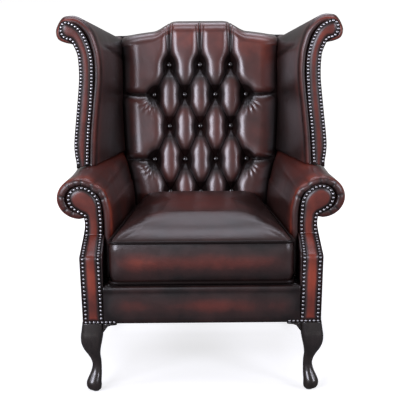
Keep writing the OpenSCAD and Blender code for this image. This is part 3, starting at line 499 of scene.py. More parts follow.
class Nodes(Wiring):
    """The nodes of a new material."""

    def __init__(self, name: str) -> None:
        """Starts a material of one shader.

        Args:
            name: The material's name.
        """
        self.material = bpy.data.materials.new(name)
        self.material.use_nodes = True
        super().__init__(self.material.node_tree)
        self.shader = self.tree.nodes["Principled BSDF"]

    def surface(self, **inputs: Any) -> bpy.types.Material:
        """Sets or links the shader's inputs.

        Args:
            **inputs: Socket names, with underscores for spaces, and their values or sockets.

        Returns:
            The material.
        """
        for key, value in inputs.items():
            self.feed(self.shader.inputs[key.replace("_", " ")], value)
        return self.material

    def attribute(self, name: str) -> bpy.types.NodeSocket:
        """Reads a point attribute.

        Args:
            name: The attribute's name.

        Returns:
            Its value at each point.
        """
        node = self.add("ShaderNodeAttribute")
        node.attribute_name = name
        return node.outputs["Fac"]

    def place(self, scale: tuple[float, float, float] = (1, 1, 1)) -> bpy.types.NodeSocket:
        """Returns the Object coordinates, stretched by the scale."""
        where = self.add("ShaderNodeTexCoord").outputs["Object"]
        return self.add("ShaderNodeMapping", Vector=where, Scale=scale).outputs[0]

    def noise(self, scale: float, detail: float = 4.0, rough: float = 0.55,
              stretch: tuple[float, float, float] = (1, 1, 1)) -> bpy.types.NodeSocket:
        """Returns a noise's value on Object coordinates."""
        return self.add("ShaderNodeTexNoise", Vector=self.place(stretch), Scale=scale,
                        Detail=detail, Roughness=rough).outputs["Fac"]

    def swing(self, noise: bpy.types.NodeSocket, by: float) -> bpy.types.NodeSocket:
        """Returns a noise moved to swing about zero, scaled."""
        return self.math("MULTIPLY", self.math("SUBTRACT", noise, 0.5), by)

    def ramp(self, value: bpy.types.NodeSocket,
             *stops: tuple[float, tuple]) -> bpy.types.NodeSocket:
        """Colours a value.

        Args:
            value: What runs along the ramp.
            *stops: Pairs of a position and a colour of three numbers.

        Returns:
            The colour's socket.
        """
        node = self.add("ShaderNodeValToRGB", Fac=value)
        e = node.color_ramp.elements
        while len(e) < len(stops):
            e.new(0.5)
        for k, (at, colour) in enumerate(stops):
            e[k].position, e[k].color = at, (*colour, 1)
        return node.outputs["Color"]

    def bump(self, height: bpy.types.NodeSocket, strength: float, distance: float,
             **under: bpy.types.NodeSocket) -> bpy.types.NodeSocket:
        """Returns a bumped normal, on top of the Normal that is given."""
        return self.add("ShaderNodeBump", Height=height, Strength=strength, Distance=distance,
                        **under).outputs["Normal"]


def linear(r: int, g: int, b: int) -> tuple[float, float, float]:
    """Turns a colour of 0 to 255 as seen into the numbers that a shader takes."""
    return tuple(((c / 255 + 0.055) / 1.055) ** 2.4 if c > 10 else c / 3294.6 for c in (r, g, b))


@dataclass(frozen=True)
class Leather:
    """Antique leather: a dark glaze rubbed back to red where it stands proud, with painted shade in
    creases, pits and recesses and towards seams, all read from one point attribute.
    """

    name: str = "oxblood_leather"
    dark: tuple = linear(19, 12, 11)
    brown: tuple = linear(44, 22, 19)
    oxblood: tuple = linear(78, 30, 22)
    red: tuple = linear(126, 50, 31)
    lift: float = 0.0
    rough: float = 0.37
    coat: float = 0.30

    def material(self) -> bpy.types.Material:
        """Builds the material.

        Returns:
            The new material.
        """
        n = Nodes(self.name)
        # One point attribute carries both the worn red and painted shade: low values give
        # near-black colour and lower the specular and coat, so the painted shade also dims
        # reflections.
        wear_and_shade, patch = n.attribute("wear_and_shade"), n.noise(26.0, 5.0, 0.62)
        shaded_wear = n.math("ADD", wear_and_shade, self.lift)
        shaded_wear = n.math("ADD", shaded_wear, n.swing(n.noise(7.0, 3.0, 0.6), 0.62))
        shaded_wear = n.math("ADD", shaded_wear, n.swing(patch, 0.34))
        shaded_wear = n.math("ADD", shaded_wear, n.swing(n.noise(420.0, 2.0, 0.5), 0.10), clamp=True)
        grain = n.add("ShaderNodeTexVoronoi", Vector=n.place(), Scale=520.0)
        grain.feature = "DISTANCE_TO_EDGE"
        pores = n.math("MINIMUM", grain.outputs["Distance"], 0.22)
        normal = n.bump(pores, 0.16, 0.0006)
        normal = n.bump(n.noise(95.0, 4.0, 0.6), 0.10, 0.0012, Normal=normal)
        normal = n.bump(n.noise(18.0, 3.0, 0.5), 0.16, 0.006, Normal=normal)
        shine = n.math("MULTIPLY_ADD", wear_and_shade, 6.0, 0.25, clamp=True)
        return n.surface(
            Base_Color=n.ramp(shaded_wear, (0.0, self.dark), (0.34, self.brown), (0.66, self.oxblood),
                              (1.0, self.red)),
            Normal=normal, Roughness=n.math("ADD", n.swing(patch, 0.16), self.rough, clamp=True),
            Specular_IOR_Level=n.math("MULTIPLY", shine, 0.5),
            Coat_Weight=n.math("MULTIPLY", shine, self.coat), Coat_Roughness=0.28)


@dataclass(frozen=True)
class StainedWood:
    """Near-black stained and polished hardwood."""

    name: str = "stained_wood"
    dark: tuple = linear(16, 14, 14)
    light: tuple = linear(46, 39, 36)
    along: tuple = (1, 1, 0.12)
    rough: float = 0.26

    def material(self) -> bpy.types.Material:
        """Builds the material.

        Returns:
            The new material.
        """
        n = Nodes(self.name)
        grain = n.noise(120.0, 6.0, 0.6, self.along)
        wide = n.noise(12.0, 3.0, 0.5, self.along)
        mix = n.math("ADD", n.math("MULTIPLY", grain, 0.65), n.math("MULTIPLY", wide, 0.5),
                     clamp=True)
        return n.surface(
            Base_Color=n.ramp(mix, (0.3, self.dark), (0.8, self.light)),
            Normal=n.bump(grain, 0.08, 0.0008),
            Roughness=n.math("ADD", n.math("MULTIPLY", wide, 0.14), self.rough - 0.06),
            Coat_Weight=0.35, Coat_Roughness=0.12)


@dataclass(frozen=True)
class FrameWood(StainedWood):
    """Bare beech of the hidden frame."""

    name: str = "frame_wood"
    dark: tuple = linear(158, 118, 78)
    light: tuple = linear(206, 170, 126)
    rough: float = 0.62


@dataclass(frozen=True)
class Nickel:
    """Antique nickel, its colour set by each dome's height: a painted highlight on the top and
    painted shade down the sides, with a little random tone.
    """

    name: str = "antique_nickel"
    bright: tuple = linear(176, 174, 176)
    dark: tuple = linear(34, 32, 34)

    def material(self) -> bpy.types.Material:
        """Builds the material.

        Returns:
            The new material.
        """
        n = Nodes(self.name)
        # The dome's height gives a painted highlight on top and painted shade down the sides.
        tone = n.math("ADD", n.swing(n.noise(260.0, 3.0), 0.2), n.attribute("crown"), clamp=True)
        return n.surface(
            Base_Color=n.ramp(tone, (0.55, self.dark), (0.92, self.bright)), Metallic=1.0,
            Roughness=n.math("ADD", n.math("MULTIPLY", n.noise(90.0, 2.0), 0.18), 0.26))


@dataclass(frozen=True)
class Steel:
    """Dull plated steel of bolts, glides and the zip's slider."""

    name: str = "plated_steel"
    tone: tuple = linear(150, 150, 148)

    def material(self) -> bpy.types.Material:
        """Builds the material.

        Returns:
            The new material.
        """
        n = Nodes(self.name)
        mark = n.noise(180.0, 4.0)
        return n.surface(
            Base_Color=n.ramp(mark, (0.3, tuple(c * 0.55 for c in self.tone)), (0.7, self.tone)),
            Metallic=1.0, Roughness=n.math("ADD", n.math("MULTIPLY", mark, 0.25), 0.22))


@dataclass(frozen=True)
class Woven:
    """A plain weave of crossed threads, for webbing, the dust cover and zip tape."""

    name: str
    tone: tuple
    threads: float
    rough: float = 0.9

    def material(self) -> bpy.types.Material:
        """Builds the material.

        Returns:
            The new material.
        """
        n = Nodes(self.name)
        waves = []
        for axis in ("X", "Y", "Z"):
            wave = n.add("ShaderNodeTexWave", Vector=n.place(), Scale=self.threads / 6.28,
                         Distortion=0.6, Detail=1.0, Detail_Scale=4.0)
            wave.bands_direction = axis
            waves.append(wave.outputs["Fac"])
        weave = n.math("MAXIMUM", n.math("MAXIMUM", waves[0], waves[1]), waves[2])
        tone = n.math("ADD", n.math("MULTIPLY", weave, 0.5),
                      n.math("MULTIPLY", n.noise(40.0, 3.0), 0.5))
        return n.surface(
            Base_Color=n.ramp(tone, (0.25, tuple(c * 0.45 for c in self.tone)), (0.85, self.tone)),
            Normal=n.bump(weave, 0.4, 0.0007), Roughness=self.rough, Sheen_Weight=0.2)


@dataclass(frozen=True)
class Finish:
    """A material with the record's slot that it belongs to."""

    material: bpy.types.Material
    slot: Slot


class Finishes:
    """Every finish of the chair, built once."""

    def __init__(self) -> None:
        """Builds the materials."""
        def made(look: Leather | StainedWood | Nickel | Steel | Woven, slot: Slot) -> Finish:
            """Returns a look's material with its slot."""
            return Finish(look.material(), slot)

        self.leather = made(Leather(), Slot.LEATHER)
        self.bright = made(Leather(name="rubbed_leather", lift=0.03, coat=0.12), Slot.LEATHER)
        self.glazed = made(Leather(name="glazed_leather", coat=0.80), Slot.LEATHER)
        self.dull = made(Leather(name="dark_leather", lift=-0.25, rough=0.32), Slot.DARK_LEATHER)
        self.button = made(Leather(name="button_leather", lift=-0.3, rough=0.14, coat=0.6),
                           Slot.DARK_LEATHER)
        self.stained = made(StainedWood(), Slot.STAINED_WOOD)
        self.beech = made(FrameWood(), Slot.FRAME_WOOD)
        self.nickel = made(Nickel(), Slot.NICKEL)
        self.steel = made(Steel(), Slot.NICKEL)
        self.jute = made(Woven("jute_webbing", linear(168, 140, 96), 420.0), Slot.JUTE)
        self.cloth = made(Woven("dust_cloth", linear(40, 40, 42), 900.0), Slot.CLOTH)
        self.tape = made(Woven("zip_tape", linear(30, 20, 20), 1100.0), Slot.DARK_LEATHER)


def dress(piece: bpy.types.Object, finish: Finish, *nodes: str, body: Body = Body.CHAIR,
          levels: int = 0, fill: float | None = None) -> None:
    """Finishes a piece, puts it on its body and hides the CAD nodes that it replaces.

    Args:
        piece: The piece, in place.
        finish: Its finish, with the slot that it is recorded under.
        *nodes: The CAD nodes that it replaces.
        body: The body that it rides on.
        levels: Subdivision levels, the same in every view.
        fill: Not used.
    """
    piece.data.materials.clear()
    piece.data.materials.append(finish.material)
    if levels:
        softened = piece.modifiers.new("softened", "SUBSURF")
        softened.levels = softened.render_levels = levels
    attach(piece, body.value)
    if nodes:
        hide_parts(*nodes)
    log.info("%s: %d faces", piece.name, len(piece.data.polygons))


@dataclass
class Lines:
    """The lines that the upholstery is drawn to, in metres, y from the front rail's face."""

    seat_d: float = 0.530
    lean: float = math.tan(math.radians(11))
    bend_z: float = 0.455
    pad_t: float = 0.062
    cover_d: float = 0.1222
    cover_t: float = 0.0045
    half_front: float = 0.347
    half_rear: float = 0.315
    arm_y: float = 0.0964
    arm_h: float = 0.625
    top_z: float = 1.080
    half_w: float = 0.433
    wing_y: float = 0.3064
    wing_x: float = 0.250
    top_roll_r: float = 0.0325
    top_roll_z: float = 0.9575
    knee_z: float = 0.412
    neck_z: float = 0.457
    arm_set: float = 0.090

    def back(self, z: Number) -> Array:
        """Returns where the face of the back's frame lies at a height."""
        return self.seat_d + np.maximum(0, np.asarray(z, float) - self.bend_z) * self.lean

    def cover(self, z: Number) -> Array:
        """Returns where the outside back lies at a height."""
        return self.back(z) + self.cover_d

    def roll(self, y: Number) -> Array:
        """Returns the arm roll's centre and radius at a depth."""
        t = (np.asarray(y, float) - self.arm_y) / (0.6736 - self.arm_y)
        return np.stack([lerp(0.352, 0.3514, t), lerp(0.563, 0.580, t), lerp(0.062, 0.038, t)], -1)

    def panel(self, y: Number) -> Array:
        """Returns the half width of the outside arm panel at a depth."""
        return lerp(self.half_front, self.half_rear, np.asarray(y, float) / 0.6522)

    def face(self, z: Number) -> Array:
        """Returns where the arm facing lies at a height."""
        return self.arm_set * np.clip((z - self.knee_z) / (self.neck_z - self.knee_z), 0, 1)

    def wing_point(self, s: tuple[float, float]) -> tuple[float, float]:
        """Returns the place of a wing's share point."""
        return (s[0] * self.half_w, lerp(self.arm_h, self.top_z, s[1]))

    def wing_rear(self, share: Array) -> Array:
        """Returns how far out a wing's padding stands at the back, at a share of its height."""
        return self.wing_x * np.interp(share, (0, 0.45, 1), (0.94, 1, 1))


LINES = Lines()
HEM = 0.0058
WING_FACE = 0.300
WOOD_FOOT, LEATHER_FOOT = 0.2149, 0.2152


def placed(x: Number, y: Number, z: Number) -> Array:
    """Puts points measured from the front rail's face into the chair's frame."""
    x, y, z = np.broadcast_arrays(x, y, z)
    return np.stack([x, np.asarray(y, float) + RAIL_Y, z], -1).astype(float)


WING_EDGE = ((0.741, -0.1), (0.727, 0.17), (0.707, 0.37), (0.684, 0.574), (0.686, 0.725),
             (0.707, 0.824), (0.74, 0.905), (0.80, 0.968), (0.85, 0.995), (0.897, 1),
             (0.955, 0.984), (1, 0.905), (0.985, 0.845), (0.93, 0.82))
WING_OUTER = ((0.885, 0.81), (0.855, 0.755), (0.841, 0.63), (0.848, 0.505), (0.871, 0.338),
              (0.887, 0.182), (0.878, -0.02))
WING_NAILS = ((0.866, 0.018), (0.878, 0.143), (0.852, 0.382), (0.831, 0.582), (0.834, 0.719),
              (0.85, 0.782), (0.885, 0.842), (0.931, 0.857), (0.958, 0.892), (0.956, 0.934),
              (0.933, 0.956), (0.894, 0.949), (0.845, 0.919), (0.808, 0.87), (0.776, 0.796),
              (0.757, 0.703), (0.757, 0.582), (0.771, 0.402), (0.79, 0.242), (0.806, 0.018))
ARM_NAILS = ((-0.274, -1.71), (-0.31, -1.34), (-0.29, -1.016), (-0.226, -0.758), (0.065, -0.597),
             (0.387, -0.355), (0.532, 0.032), (0.387, 0.371), (0.03, 0.548), (-0.355, 0.468),
             (-0.71, 0.16), (-0.887, -0.242), (-0.919, -0.694), (-0.952, -1.177), (-0.936, -1.71))


def wing_row() -> Array:
    """Returns the line of the wing's nails."""
    return smooth([LINES.wing_point(s) for s in WING_NAILS], 6)


def arm_row() -> Array:
    """Returns the line of the arm's nails, from the outer foot round the scroll."""
    scroll = smooth([(0.352 + a * 0.062, 0.563 + b * 0.062) for a, b in ARM_NAILS], 8)
    return np.vstack([[(0.335, 0.2307), (0.340, 0.412)], scroll,
                      [(0.2955, 0.412), (0.2905, 0.2307)]])


@dataclass
class TuftedBack:
    """The buttoned inside back: diamonds between the buttons, pleats to the top and the sides."""

    finishes: Finishes
    low_z: float = 0.3034
    rows: tuple = (0.902, 0.80565, 0.70397, 0.59696, 0.492)
    pitch: float = 0.101
    rise: float = 0.027
    crease: float = 0.014

    @staticmethod
    def spread(row: int) -> tuple:
        """Returns where a row's buttons stand, in pitches from the middle."""
        return (-1, 0, 1) if row % 2 == 0 else (-1.5, -0.5, 0.5, 1.5)

    def near_button(self, x: Array, z: Array, wide: float, tall: float, power: float) -> Array:
        """Tells how near each point lies to a button.

        Args:
            x: Widths.
            z: Heights.
            wide: How far a button reaches to its sides.
            tall: How far it reaches up and down.
            power: How sharply its reach ends.

        Returns:
            A share for each point, 1 at a button.
        """
        return np.max([np.exp(-((((x - bx) / wide) ** 2) + (((z - bz) / tall) ** 2)) ** power)
                       for bx, bz in self.buttons()], axis=0)

    def buttons(self) -> list[tuple[float, float]]:
        """Returns the places of the buttons."""
        return [(i * self.pitch, z) for k, z in enumerate(self.rows) for i in self.spread(k)]

    def pleats(self) -> list[tuple[tuple, tuple, float]]:
        """Returns the pleats as pairs of ends with a strength."""
        found = []
        for k, (z, below) in enumerate(zip(self.rows, self.rows[1:])):
            found += [((i * self.pitch, z), (j * self.pitch, below), 1.0)
                      for i in self.spread(k) for j in (i - 0.5, i + 0.5) if abs(j) <= 1.5]
        for i in self.spread(0):
            x = i * self.pitch
            found += [((x, self.rows[0]), (x, 1.10), 0.9), ((x, self.rows[4]), (x, 0.25), 0.8)]
        return found + [((s * 1.5 * self.pitch, z), (s * 0.30, z + 0.004), 0.85)
                        for s in (-1, 1) for z in (self.rows[1], self.rows[3])]

    def hump(self, x: Array) -> Array:
        """Draws the back's humped top.

        Args:
            x: Widths.

        Returns:
            The height at each width.
        """
        a = np.abs(x)
        level = lerp(0.990, 1.037, 0.28)
        t = np.clip((a - 0.076) / 0.080, 0, 1)
        return np.where(a < 0.156, lerp(1.037, level, (1 - np.cos(np.pi * t)) / 2),
                        lerp(level, 0.990, np.clip((a - 0.156) / 0.094, 0, 1)))

    def relief(self, x: Array, z: Array) -> tuple[Array, Array, Array]:
        """Draws the padding.

        Args:
            x: Widths.
            z: Heights.

        Returns:
            How far the padding stands out as a share, how deep its creases are and how near
            the closest button is.
        """
        p = np.stack([x.ravel(), z.ravel()], 1)
        soft, near = np.zeros(len(p)), np.zeros(len(p))
        for a, b, strength in self.pleats():
            dist = to_path(p, np.array([a, b]))
            soft += strength * (dist + 0.0012) ** -3
            near = np.maximum(near, strength * np.exp(-((dist / 0.0019) ** 2)))
        open_to = soft ** (-1 / 3)
        high = 0.50 * np.sin(np.pi / 2 * np.clip(open_to / 0.029, 0, 1)) ** 0.9
        high += 0.14 * (1 - np.exp(-open_to / 0.0060)) + 0.34
        pit = self.near_button(*p.T, 0.0175, 0.0225, 1)
        high -= 0.34 * self.near_button(*p.T, 0.024, 0.034, 1)
        for i in self.spread(0):
            for s in (-1, 1):
                path = np.array([(i * self.pitch, 0.926), (i * self.pitch + s * 0.006, 0.955),
                                 (i * self.pitch + s * 0.011, 1.03)])
                fold = np.exp(-((to_path(p, path) / 0.0022) ** 2)) * ease(0.922, 0.94, p[:, 1])
                near = np.maximum(near, 0.42 * fold)
        for s in (-1, 1):
            for row, reach in ((1, 1.0), (3, 0.7)):
                dx, dz = (p[:, 0] - s * 0.158) * s, p[:, 1] - self.rows[row]
                r, a = np.hypot(dx, dz + 0.008), np.arctan2(-dz - 0.004, dx + 0.004)
                fan = np.sin(a * 17) * np.exp(-(((r - 0.030) / 0.015) ** 2)) * ease(0.15, 0.5, a)
                high = high + 0.045 * reach * fan * (1 - ease(1.5, 2.2, a))
        return high.reshape(x.shape), near.reshape(x.shape), pit.reshape(x.shape)

    def side(self, z: Array) -> Array:
        """Measures the room between the wings or the arms.

        Args:
            z: Heights.

        Returns:
            Half the width of the back at each height.
        """
        y, foot = LINES.back(z) + self.crease, LINES.arm_h
        share = np.clip((np.minimum(z, LINES.top_roll_z) - foot) / (LINES.top_roll_z - foot),
                        -0.12, 1)
        rear = LINES.wing_rear(share)
        front_z = lerp(foot, LINES.top_z, share * 0.86)
        edge = smooth([LINES.wing_point(s) for s in WING_EDGE[:7]], 6)
        front = np.interp(front_z, edge[:, 1], edge[:, 0])
        t = (y - LINES.wing_y) / (LINES.back(z) + LINES.pad_t - LINES.wing_y)
        wing = lerp(front, rear, t)
        heights = np.linspace(0.30, 0.66, 73)
        arm = np.interp(z, heights, [Arms.inner(float(LINES.back(h)) + self.crease, h)
                                     for h in heights])
        return np.where(z < 0.618, np.minimum(arm, wing), wing) - 0.0014

    def build(self) -> None:
        """Builds the padding and its buttons."""
        cols, up, over = 276, 300, 22
        u = np.linspace(-1, 1, cols)
        v = np.linspace(0, 1, up)
        top = self.hump(u * 0.245)
        z = lerp(self.low_z, np.broadcast_to(top - 0.0304, (up, cols)), v[:, None])
        x = u[None, :] * self.side(z)
        high, near, pit = self.relief(x, z)
        margin = (self.side(z) - np.abs(x)) / 0.058
        e = np.sin(np.pi / 2 * np.clip(margin, 0, 1)) ** 0.62
        grow = ease(0.440, 0.495, z)
        stand = e * lerp(0.45, 1.0, grow) * high * self.rise
        y = LINES.back(z) + self.crease - stand + near * e * 0.0035 + pit * e * 0.0115
        rows = [placed(x, y, z)]
        # Painted shade: the colour goes dark in a star round each button, along each crease and
        # towards the sides by the wings, on top of the dark glaze; the pillows' tops are rubbed red
        # and the colour reddens near the top edge.
        button_grime_and_shade = self.near_button(x, z, 0.021, 0.031, 1.3)
        wear_and_shade = 0.22 + 0.34 * ease(0.55, 0.97, high) - 0.75 * button_grime_and_shade - 0.5 * near
        wear_and_shade -= 0.30 * (1 - e) + 0.42 * (1 - ease(0.0, 0.55, margin))
        wear_and_shade += 0.16 * ease(0.90, 1.0, z) * (1 - near)
        values = [wear_and_shade]
        xt, zt, face, ends = x[-1], z[-1], y[-1], 1 - e[-1]
        turn = np.linspace(0.07, 1, over) * np.pi / 2
        folds = self.relief(np.broadcast_to(xt, (over, cols)),
                            zt + 0.030 * np.sin(turn)[:, None])[1]
        for a, fold in zip(turn, folds):
            zz = zt + 0.030 * np.sin(a) - fold * 0.0024 - ends * 0.004 * np.sin(a)
            yy = face + 0.0058 * np.sin(a) + 0.030 * (1 - np.cos(a)) + fold * 0.002
            rows.append(placed(xt, yy, zz)[None])
            # Painted shade in the folds and at the ends of the top roll.
            values.append((0.62 - 0.4 * fold - 0.25 * ends)[None])
        rim = rows[-1][0]
        for s in (0.33, 0.66, 1.0):
            yy = lerp(rim[:, 1] - RAIL_Y, LINES.cover(top) + 0.001, s)
            rows.append(placed(xt, yy, rim[:, 2])[None])
            values.append(np.full((1, cols), 0.45))
        rows.append(placed(xt, LINES.cover(top) + 0.001, rim[:, 2] - 0.0042)[None])
        values.append(np.full((1, cols), 0.3))
        shape = Shape()
        front = np.concatenate(rows)
        shape.grid(front, np.concatenate(values))
        back_y = LINES.back(z[::6]) + LINES.pad_t
        behind = placed(x[::6], back_y, z[::6])
        tail = placed(xt, LINES.back(zt + 0.026) + LINES.pad_t + 0.001, zt + 0.026)[None]
        shell = np.concatenate([behind, tail, front[-1:]])
        shape.grid(shell[::-1], 0.1)
        piece = shape.object("tufted_back")
        close_up(piece.data, fill=True)
        dress(piece, self.finishes.glazed, "inside_back", fill=0.8)
        self.build_buttons()

    def build_buttons(self) -> None:
        """Builds the covered buttons."""
        shape = Shape()
        rake = math.radians(11)
        out = Vector((0, -math.cos(rake), math.sin(rake)))
        side, up = Vector((1, 0, 0)), Vector((0, math.sin(rake), math.cos(rake)))
        profile = ((0.0015, -0.0100), (0.0062, -0.0060), (0.0078, -0.0030), (0.0082, -0.0008),
                   (0.0079, 0.0010), (0.0068, 0.0026), (0.0050, 0.0037), (0.0026, 0.0043),
                   (0.0004, 0.0045))
        for bx, bz in self.buttons():
            middle = Vector(placed(bx, LINES.back(bz) + 0.0128, bz).tolist())
            rings = [[middle + out * h + (side * math.cos(a) + up * math.sin(a)) * r
                      for a in np.linspace(0, 2 * math.pi, 25)[:-1]] for r, h in profile]
            shape.grid(np.array([[tuple(q) for q in ring] for ring in rings]), 0.2,
                       around=True, caps=True)
        dress(shape.object("covered_buttons"), self.finishes.button, "back_buttons")


@dataclass
class Arms:
    """The rolled arms with their pleated fronts, padded facings and outside panels."""

    finishes: Finishes
    low_z: float = 0.3034
    swell_z: float = 0.501
    swell: tuple = ((0, 0), (0.16, 0.03), (0.33, 0.10), (0.53, 0.25), (0.72, 0.52), (0.85, 0.86))

    @classmethod
    def inner(cls, y: float, z: float) -> float:
        """Finds the arm's inner side.

        Args:
            y: The depth.
            z: The height.

        Returns:
            How far out the side lies there.
        """
        t = (y - LINES.arm_y) / (float(LINES.cover(z)) - LINES.arm_y)
        line = lerp(cls.front_line(), cls.rear_line(), t)
        top = int(np.argmax(line[:, 1] > 0.617))
        return float(np.interp(z, line[:top, 1], line[:top, 0]))

    @classmethod
    def rear_line(cls) -> Array:
        """Draws the arm's line at the back, filled up to the foot of the wing.

        Returns:
            The points, as widths and heights.
        """
        cx, cz, r = LINES.roll(0.6736)
        rise = [(0.2111, cls.low_z), (0.2111, 0.40), (0.2125, 0.47), (0.2190, 0.52),
                (0.2270, 0.56), (0.2340, 0.592), (0.2400, 0.611), (0.2530, 0.6195),
                (0.2900, 0.6205), (0.3250, 0.6205)]
        arc = [(cx + r * math.cos(a), cz + (r + 0.0025) * math.sin(a))
               for a in np.radians(np.linspace(84, -86, 14))]
        return even(smooth(rise + arc, 5), 110)

    @classmethod
    def front_line(cls) -> Array:
        """Draws the arm's line at its front, from the inner foot over the roll to below it.

        Returns:
            The points, as widths and heights.
        """
        x0, (cx, cz, r) = 0.2602, LINES.roll(LINES.arm_y)
        edge = cx - r * math.cos(math.radians(40))
        rise = [(lerp(x0, edge, b), lerp(cls.swell_z, cz + r, a)) for a, b in cls.swell[1:]]
        rise = [(x, z) for x, z in rise if z < cz + r * 0.60]
        foot = [(x0, cls.low_z), (x0, 0.40), (x0 + 0.0002, cls.swell_z - 0.03)]
        arc = [(cx + r * math.cos(a), cz + r * math.sin(a))
               for a in np.radians(np.linspace(138, -86, 22))]
        return even(smooth(foot + rise + arc, 5), 110)

    def rings(self) -> tuple[Array, Array]:
        """Draws the arm's padding from front to back.

        Returns:
            The lines of points, and how red each point is.
        """
        front, rear = self.front_line(), self.rear_line()
        inward = sideways(front)
        along = np.linspace(0, 1, len(front))
        turn = np.degrees(np.arctan2(front[:, 1] - 0.563, front[:, 0] - 0.352))
        rows, wear_and_shade = [], []
        pleat = np.zeros(len(front))
        for a in (96, 131, 176, 216, 51, 8, -38, 155, 74, -62):
            gap = np.abs((turn - a + 180) % 360 - 180)
            pleat += np.exp(-((gap / 2.2) ** 2)) * (0.6 if a in (155, 74, -62) else 1.0)
        roll_on = ease(0.40, 0.5, along)
        pleat *= roll_on
        ripples = np.sin(along * 260) * 0.25 * roll_on
        puff = 0.0068 * np.clip((front[:, 0] - 0.352) / 0.062, 0, 1) * roll_on
        for w in np.linspace(0.031, 0.0, 17):
            t = w / 0.031
            y = LINES.arm_y + 0.0105 * (1 - math.sqrt(max(0, 1 - (1 - min(1, w / 0.0115)) ** 2)))
            y += 0.0060 * ease(0.62, 0.9, t) - 0.0042 * math.sin(math.pi * min(1, t * 1.1)) * 0.9
            fade = math.sin(math.pi * min(1, max(0, t))) ** 0.5
            p = front + inward * w
            p[:, 0] += puff * (1 - 0.35 * t)
            rows.append(placed(p[:, 0], y + (pleat * 0.0030 + ripples * 0.0008) * fade, p[:, 1]))
            # Painted shade: the roll's front darkens towards the nails and down each pleat, and its
            # outer lip is rubbed red.
            wear_and_shade.append(0.82 - 0.34 * ease(0.04, 0.25, t) - 0.26 * ease(0.3, 0.75, t)
                       - 0.5 * pleat * fade - 0.55 * ease(0.75, 0.95, t))
        for t in np.concatenate([[0.012, 0.03, 0.055, 0.09, 0.13], np.linspace(0.18, 1, 16)]):
            p = lerp(front, rear, t)
            low = p[:, 1]
            behind = np.minimum(LINES.back(low) - 0.0012,
                                LINES.seat_d + (low - LINES.bend_z) * LINES.lean - 0.0006)
            end = np.where(along < 0.42, behind + LINES.pad_t, LINES.cover(low) - 0.0008)
            y = lerp(LINES.arm_y + 0.0105, end, t)
            sink = pleat * 0.0012 * (1 - ease(0.02, 0.20, t))
            q = p + inward * sink[:, None]
            q[:, 0] += puff * (1 - ease(0.0, 0.34, t))
            rows.append(placed(q[:, 0], y, q[:, 1]))
            # Painted shade: the inside arm darkens at its foot by the seat, towards the back where
            # it meets the back and in the pleats; it is rubbed redder over the roll's top and near
            # the front.
            crown = np.exp(-(((turn - 100) / 45) ** 2)) * ease(0.38, 0.45, along)
            shade = 0.01 + 0.34 * crown + 0.10 * np.sin(np.pi * along) + 0.25 * ease(0, 0.12, along)
            shade += 0.30 * (1 - ease(0.0, 0.12, t)) - 0.3 * ease(0.82, 1.0, t)
            wear_and_shade.append(shade - 0.4 * pleat * (1 - ease(0.02, 0.15, t)))
        return np.array(rows), np.array(wear_and_shade)

    def padding(self, side: int, name: str) -> None:
        """Builds one arm's roll and inside padding as one stretched skin.

        Args:
            side: 1 for the right, -1 for the left.
            name: The side's name.
        """
        rows, wear_and_shade = self.rings()
        inner = []
        for row in rows:
            a, b = row[-1], row[0]
            x1 = min(b[0] + 0.034, a[0])
            pts = [lerp(a, np.array([x1, a[1], a[2] + 0.012]), s) for s in (0.5, 1.0)]
            low = np.array([x1, b[1], b[2]])
            pts += [lerp(pts[-1], low, s) for s in (0.35, 0.7, 1.0)]
            inner.append(pts)
        rows = np.concatenate([rows, np.array(inner)], 1)
        wear_and_shade = np.concatenate([wear_and_shade, np.full((len(wear_and_shade), rows.shape[1] - wear_and_shade.shape[1]), 0.1)], 1)
        dress(loft(rows, wear_and_shade).object(f"{name}_arm_padding", side < 0), self.finishes.leather,
              f"{name}_arm_roll", f"{name}_inside_arm", fill=0.85)

    def facing(self, side: int, name: str) -> None:
        """Builds one padded front facing inside its row of nails.

        Args:
            side: 1 for the right, -1 for the left.
            name: The side's name.
        """
        row = arm_row()
        edge = beside(row, HEM)
        edge[:, 0] += 0.0034 * (edge[:, 0] > 0.330) * (1 - ease(0.44, 0.50, edge[:, 1]))
        trail = closed(np.vstack([[(row[0][0], 0.219)], row, [(row[-1][0], 0.219)]]))
        panel = Panel(np.vstack([[(edge[0][0], LEATHER_FOOT)], edge,
                                 [(edge[-1][0], LEATHER_FOOT)]]), 0.0034)
        x, z = panel.flat.T
        d, within = to_path(panel.flat, trail), inside(panel.flat, trail)
        pad = 0.0052 * (1 - np.exp(-np.maximum(0, d - 0.0035) / 0.0055))
        welt = 0.0016 * np.sin(np.pi * np.clip(d / HEM, 0, 1))
        knee = np.exp(-(((z - LINES.knee_z) / 0.006) ** 2))
        # Painted shade: the facing goes dark close to its nails, on the hem outside them and in a
        # band from the slope above the knee into the scroll; the ripple over the height is tone.
        tone = 0.02 + 0.80 * ease(0.004, 0.014, d) + 0.10 * np.sin(z * 41)
        tone -= 0.22 * ease(0.43, 0.50, z) * (1 - ease(0.53, 0.57, z))
        sloped = (z > LINES.knee_z) & (z < LINES.neck_z)
        shape = panel.plate(
            lambda h: placed(x, LINES.face(z) - h * np.where(sloped, 0.447, 1.0),
                             z + h * np.where(sloped, 0.894, 0.0)),
            np.where(within, pad, welt) - 0.0012 * knee * within, 0.0052,
            np.where(within, tone, 0.02))
        dress(shape.object(f"{name}_arm_front", side < 0), self.finishes.bright,
              f"{name}_arm_facing", fill=0.9)

